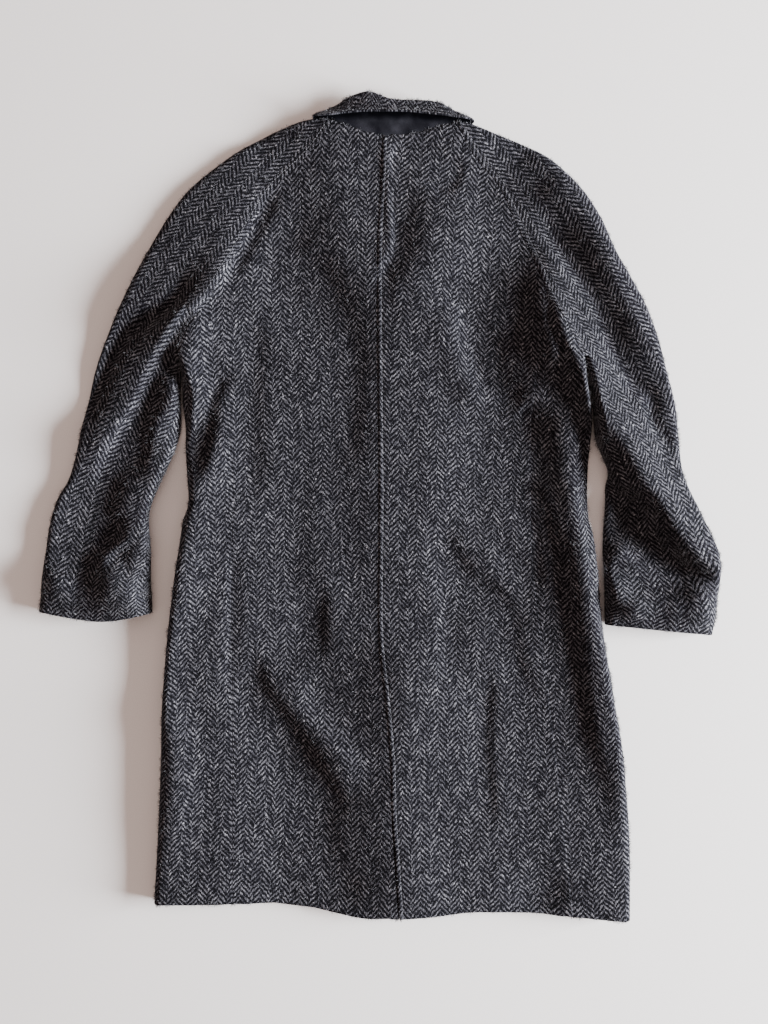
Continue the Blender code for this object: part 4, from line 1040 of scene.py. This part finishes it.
def stitches(name, lines, finish):
    """Closed stitches along lines on the cloth: each line is its points and the ways out there."""
    share, rise, radius = np.array(STITCH_SHAPE).T[..., None]
    turn = 2 * math.pi * np.arange(STITCH_SIDES) / STITCH_SIDES
    up_by, across_by = (rise + radius * np.cos(turn))[..., None], (radius * np.sin(turn))[..., None]
    points = []
    for line, outward in lines:
        done = travelled(line)
        for start in np.arange(STITCH_PITCH / 2, done[-1] - STITCH, STITCH_PITCH):
            places = start + STITCH * share
            middle = beside(*(np.interp(places, done, line[:, k]) for k in range(3)))
            if middle[:, 2].min() < STITCH_FLOOR:
                continue
            up = [np.interp(start + STITCH / 2, done, outward[:, k]) for k in range(3)]
            up = unit(np.array(up))
            across = unit(np.cross(middle[-1] - middle[0], up))
            points.append(middle[:, None] + up * up_by + across * across_by)
    points = np.array(points)
    index = np.arange(points.size // 3).reshape(points.shape[:3])
    a, b = index[:, :-1], np.roll(index, -1, axis=2)[:, :-1]
    sides = np.stack([a, b, b + STITCH_SIDES, a + STITCH_SIDES], axis=-1).reshape(-1, 4)
    faces = sides.tolist() + index[:, 0, ::-1].tolist() + index[:, -1].tolist()
    add_piece(name, points.reshape(-1, 3), faces, finish)


def fuzz(name, pieces, spacing, finish, seed):
    """Loose fibres that stand out of the cloth, closest together where it turns over an edge."""
    rng = np.random.default_rng(seed)
    roots, ways = [], []
    for piece in pieces:
        grid, outward = FACES[piece]
        corners = grid[:-1, :-1], grid[:-1, 1:], grid[1:, :-1]
        area = norm(np.cross(corners[1] - corners[0], corners[2] - corners[0]))
        up = outward[:-1, :-1, 2]
        crowd = 1 + FUZZ_CROWD * (1 - np.clip(np.abs(up) / 0.8, 0, 1))
        amount = rng.poisson(area * np.where(up > FUZZ_BENEATH, crowd, 0) / spacing)
        row, col = np.repeat(np.indices(amount.shape).reshape(2, -1), amount.ravel(), axis=1)
        u, v = rng.random((2, len(row), 1))
        base = grid[row, col]
        roots.append(base + (grid[row, col + 1] - base) * u + (grid[row + 1, col] - base) * v)
        ways.append(outward[row, col])
        # the raw ends of the panel, at its first and last rows
        for end, before in ((0, 1), (-1, -2)):
            edge = grid[end]
            wanted = np.linspace(0, len(edge) - 1.001, int(travelled(edge)[-1] / EDGE_PITCH))
            i = wanted.astype(int)
            t = (wanted - i)[:, None]
            deep = outward[end][i] * rng.random((len(i), 1)) * FELT
            roots.append(edge[i] + (edge[i + 1] - edge[i]) * t - deep)
            ways.append(unit(edge[i] - grid[before][i] + outward[end][i] * 0.2))
    root, way = np.concatenate(roots), np.concatenate(ways)
    count = len(root)
    way = unit(way * FUZZ_LEAN + rng.normal(0, FUZZ_STRAY, (count, 3)))
    bent = unit(way + rng.normal(0, FUZZ_BEND, (count, 3)))
    tuft = np.clip(0.5 + lattice_noise(root[:, :2], TUFT_PITCH, seed), 0, 1)[:, None]
    short, long = FUZZ_LENGTH
    reach = short + (long - short) * rng.random((count, 1)) ** FUZZ_SHORTNESS
    reach = np.minimum(reach * (TUFT_LENGTH[0] + TUFT_LENGTH[1] * tuft**2), long)
    flat = unit(np.cross(way, rng.normal(0, 1, (count, 3)))) * FUZZ_WIDTH / 2
    middle = root + way * reach * 0.5
    tip = middle + bent * reach * 0.5
    points = np.stack(
        [root - flat, root + flat, middle + flat * 0.8, middle - flat * 0.8, tip], axis=1
    )
    kept = (np.minimum(tip, middle)[:, 2] > FIBRE_FLOOR) & (root[:, 2] > ROOT_FLOOR)
    points = points[kept]
    first = 5 * np.arange(len(points))[:, None]
    faces = (first + (0, 1, 2, 3)).tolist() + (first + (3, 2, 4)).tolist()
    add_piece(name, points.reshape(-1, 3), faces, finish)


# --- build ---

FINISHES = {"herringbone": tweed("herringbone_tweed"), "melton": melton()}
for side in SIDES:
    back_panel(side)
    front_panel(side)
    sleeve(side)
collar("upper_collar_cloth", 0.0, COLLAR_CLOTH, "herringbone", "upper_collar")
collar("under_collar_felt", COLLAR_CLOTH + COLLAR_GAP, FELT, "melton", "under_collar")

wool_thread = thread("wool_thread", (0.05, 0.05, 0.056), (0.2, 0.2, 0.215))
sleeve_rows = slice(1, RAGLAN_ROWS + FLANGE_COLS)
welt_col = SEAM_STEPS.index(6.8)
raglans = [seam_line(f"sleeve_{side}_cloth", welt_col, sleeve_rows) for side in SIDES]
stitches("raglan_stitches", raglans, wool_thread)
centre_col = -1 - CENTRE_STEPS.index(CENTRE_WELT_WIDTH)
bar = tuple(part[RAGLAN_ROWS + VENT_ROW, -10:] for part in FACES["back_right_cloth"])
centre_back = [seam_line("back_right_cloth", centre_col), bar]
stitches("centre_back_stitches", centre_back, wool_thread)
stitches("collar_stitches", [seam_line("upper_collar_cloth", -2)], wool_thread)

loose_wool = thread("loose_wool", (0.015, 0.015, 0.018), (0.2, 0.2, 0.215))
loose_felt = thread("loose_felt", (0.008, 0.008, 0.011), (0.05, 0.05, 0.06))
body = [f"{part}_{side}_cloth" for part in ("back", "front") for side in SIDES]
sleeves = [f"sleeve_{side}_cloth" for side in SIDES]
for name, pieces, spacing, finish, slot, seed in (
    ("body_fuzz", body, 15.0, loose_wool, "herringbone", 21),
    ("sleeve_fuzz", sleeves, 10.0, loose_wool, "herringbone", 22),
    ("collar_fuzz", ["upper_collar_cloth"], 4.5, loose_wool, "herringbone", 23),
    ("felt_fuzz", ["under_collar_felt"], 8.0, loose_felt, "melton", 24),
):
    fuzz(name, pieces, spacing, finish, seed)

small_finishes = {"button": horn(), "pocket": tweed("pocket_welt_tweed", woven=False)}
for name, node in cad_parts.items():
    for start, finish in small_finishes.items():
        if name.startswith(start):
            for slot in node.material_slots:
                slot.material = finish


# --- floor, light and camera ---

FLOOR_HALF = 8
FLOOR_DROP = 0.0006  # keeps the floor just clear of the cloth's underside
CAMERA_HEIGHT = 1.007
AIMED_HEIGHT = 0.009  # of the coat's middle, from which the camera's height counts

floor_mesh = bpy.data.meshes.new("floor")
corners = [(x * FLOOR_HALF, y * FLOOR_HALF, 0) for x, y in ((-1, -1), (1, -1), (1, 1), (-1, 1))]
floor_mesh.from_pydata(corners, [], [(0, 1, 2, 3)])
floor_mesh.materials.append(paint("floor_paint", (0.86, 0.835, 0.82), 0.8))
floor = new_object("floor", floor_mesh)
floor.location.z = -FLOOR_DROP

world = bpy.data.worlds.new("room")
bpy.context.scene.world = world
world.use_nodes = True
world.node_tree.nodes["Background"].inputs[0].default_value = (1.0, 0.775, 0.69, 1.0)
world.node_tree.nodes["Background"].inputs[1].default_value = 0.65

window = bpy.data.lights.new("window", "AREA")
window.shape = "RECTANGLE"
window.size, window.size_y = 2.2, 1.5
window.energy = 1575.0
window.color = (0.93, 0.965, 1.0)
lamp = new_object("window", window)
lamp.location = (4.08, -0.4, 1.08)
lamp.rotation_mode = "QUATERNION"
lamp.rotation_quaternion = (-mathutils.Vector(lamp.location)).to_track_quat("-Z", "Y")

camera_data = bpy.data.cameras.new("camera")
camera_data.sensor_width = 36.0
camera_data.lens = 27.1
camera = new_object("camera", camera_data)
camera.location = (0.0065, -0.0105 - MIDDLE_Y * MM, CAMERA_HEIGHT + AIMED_HEIGHT)
bpy.context.scene.camera = camera
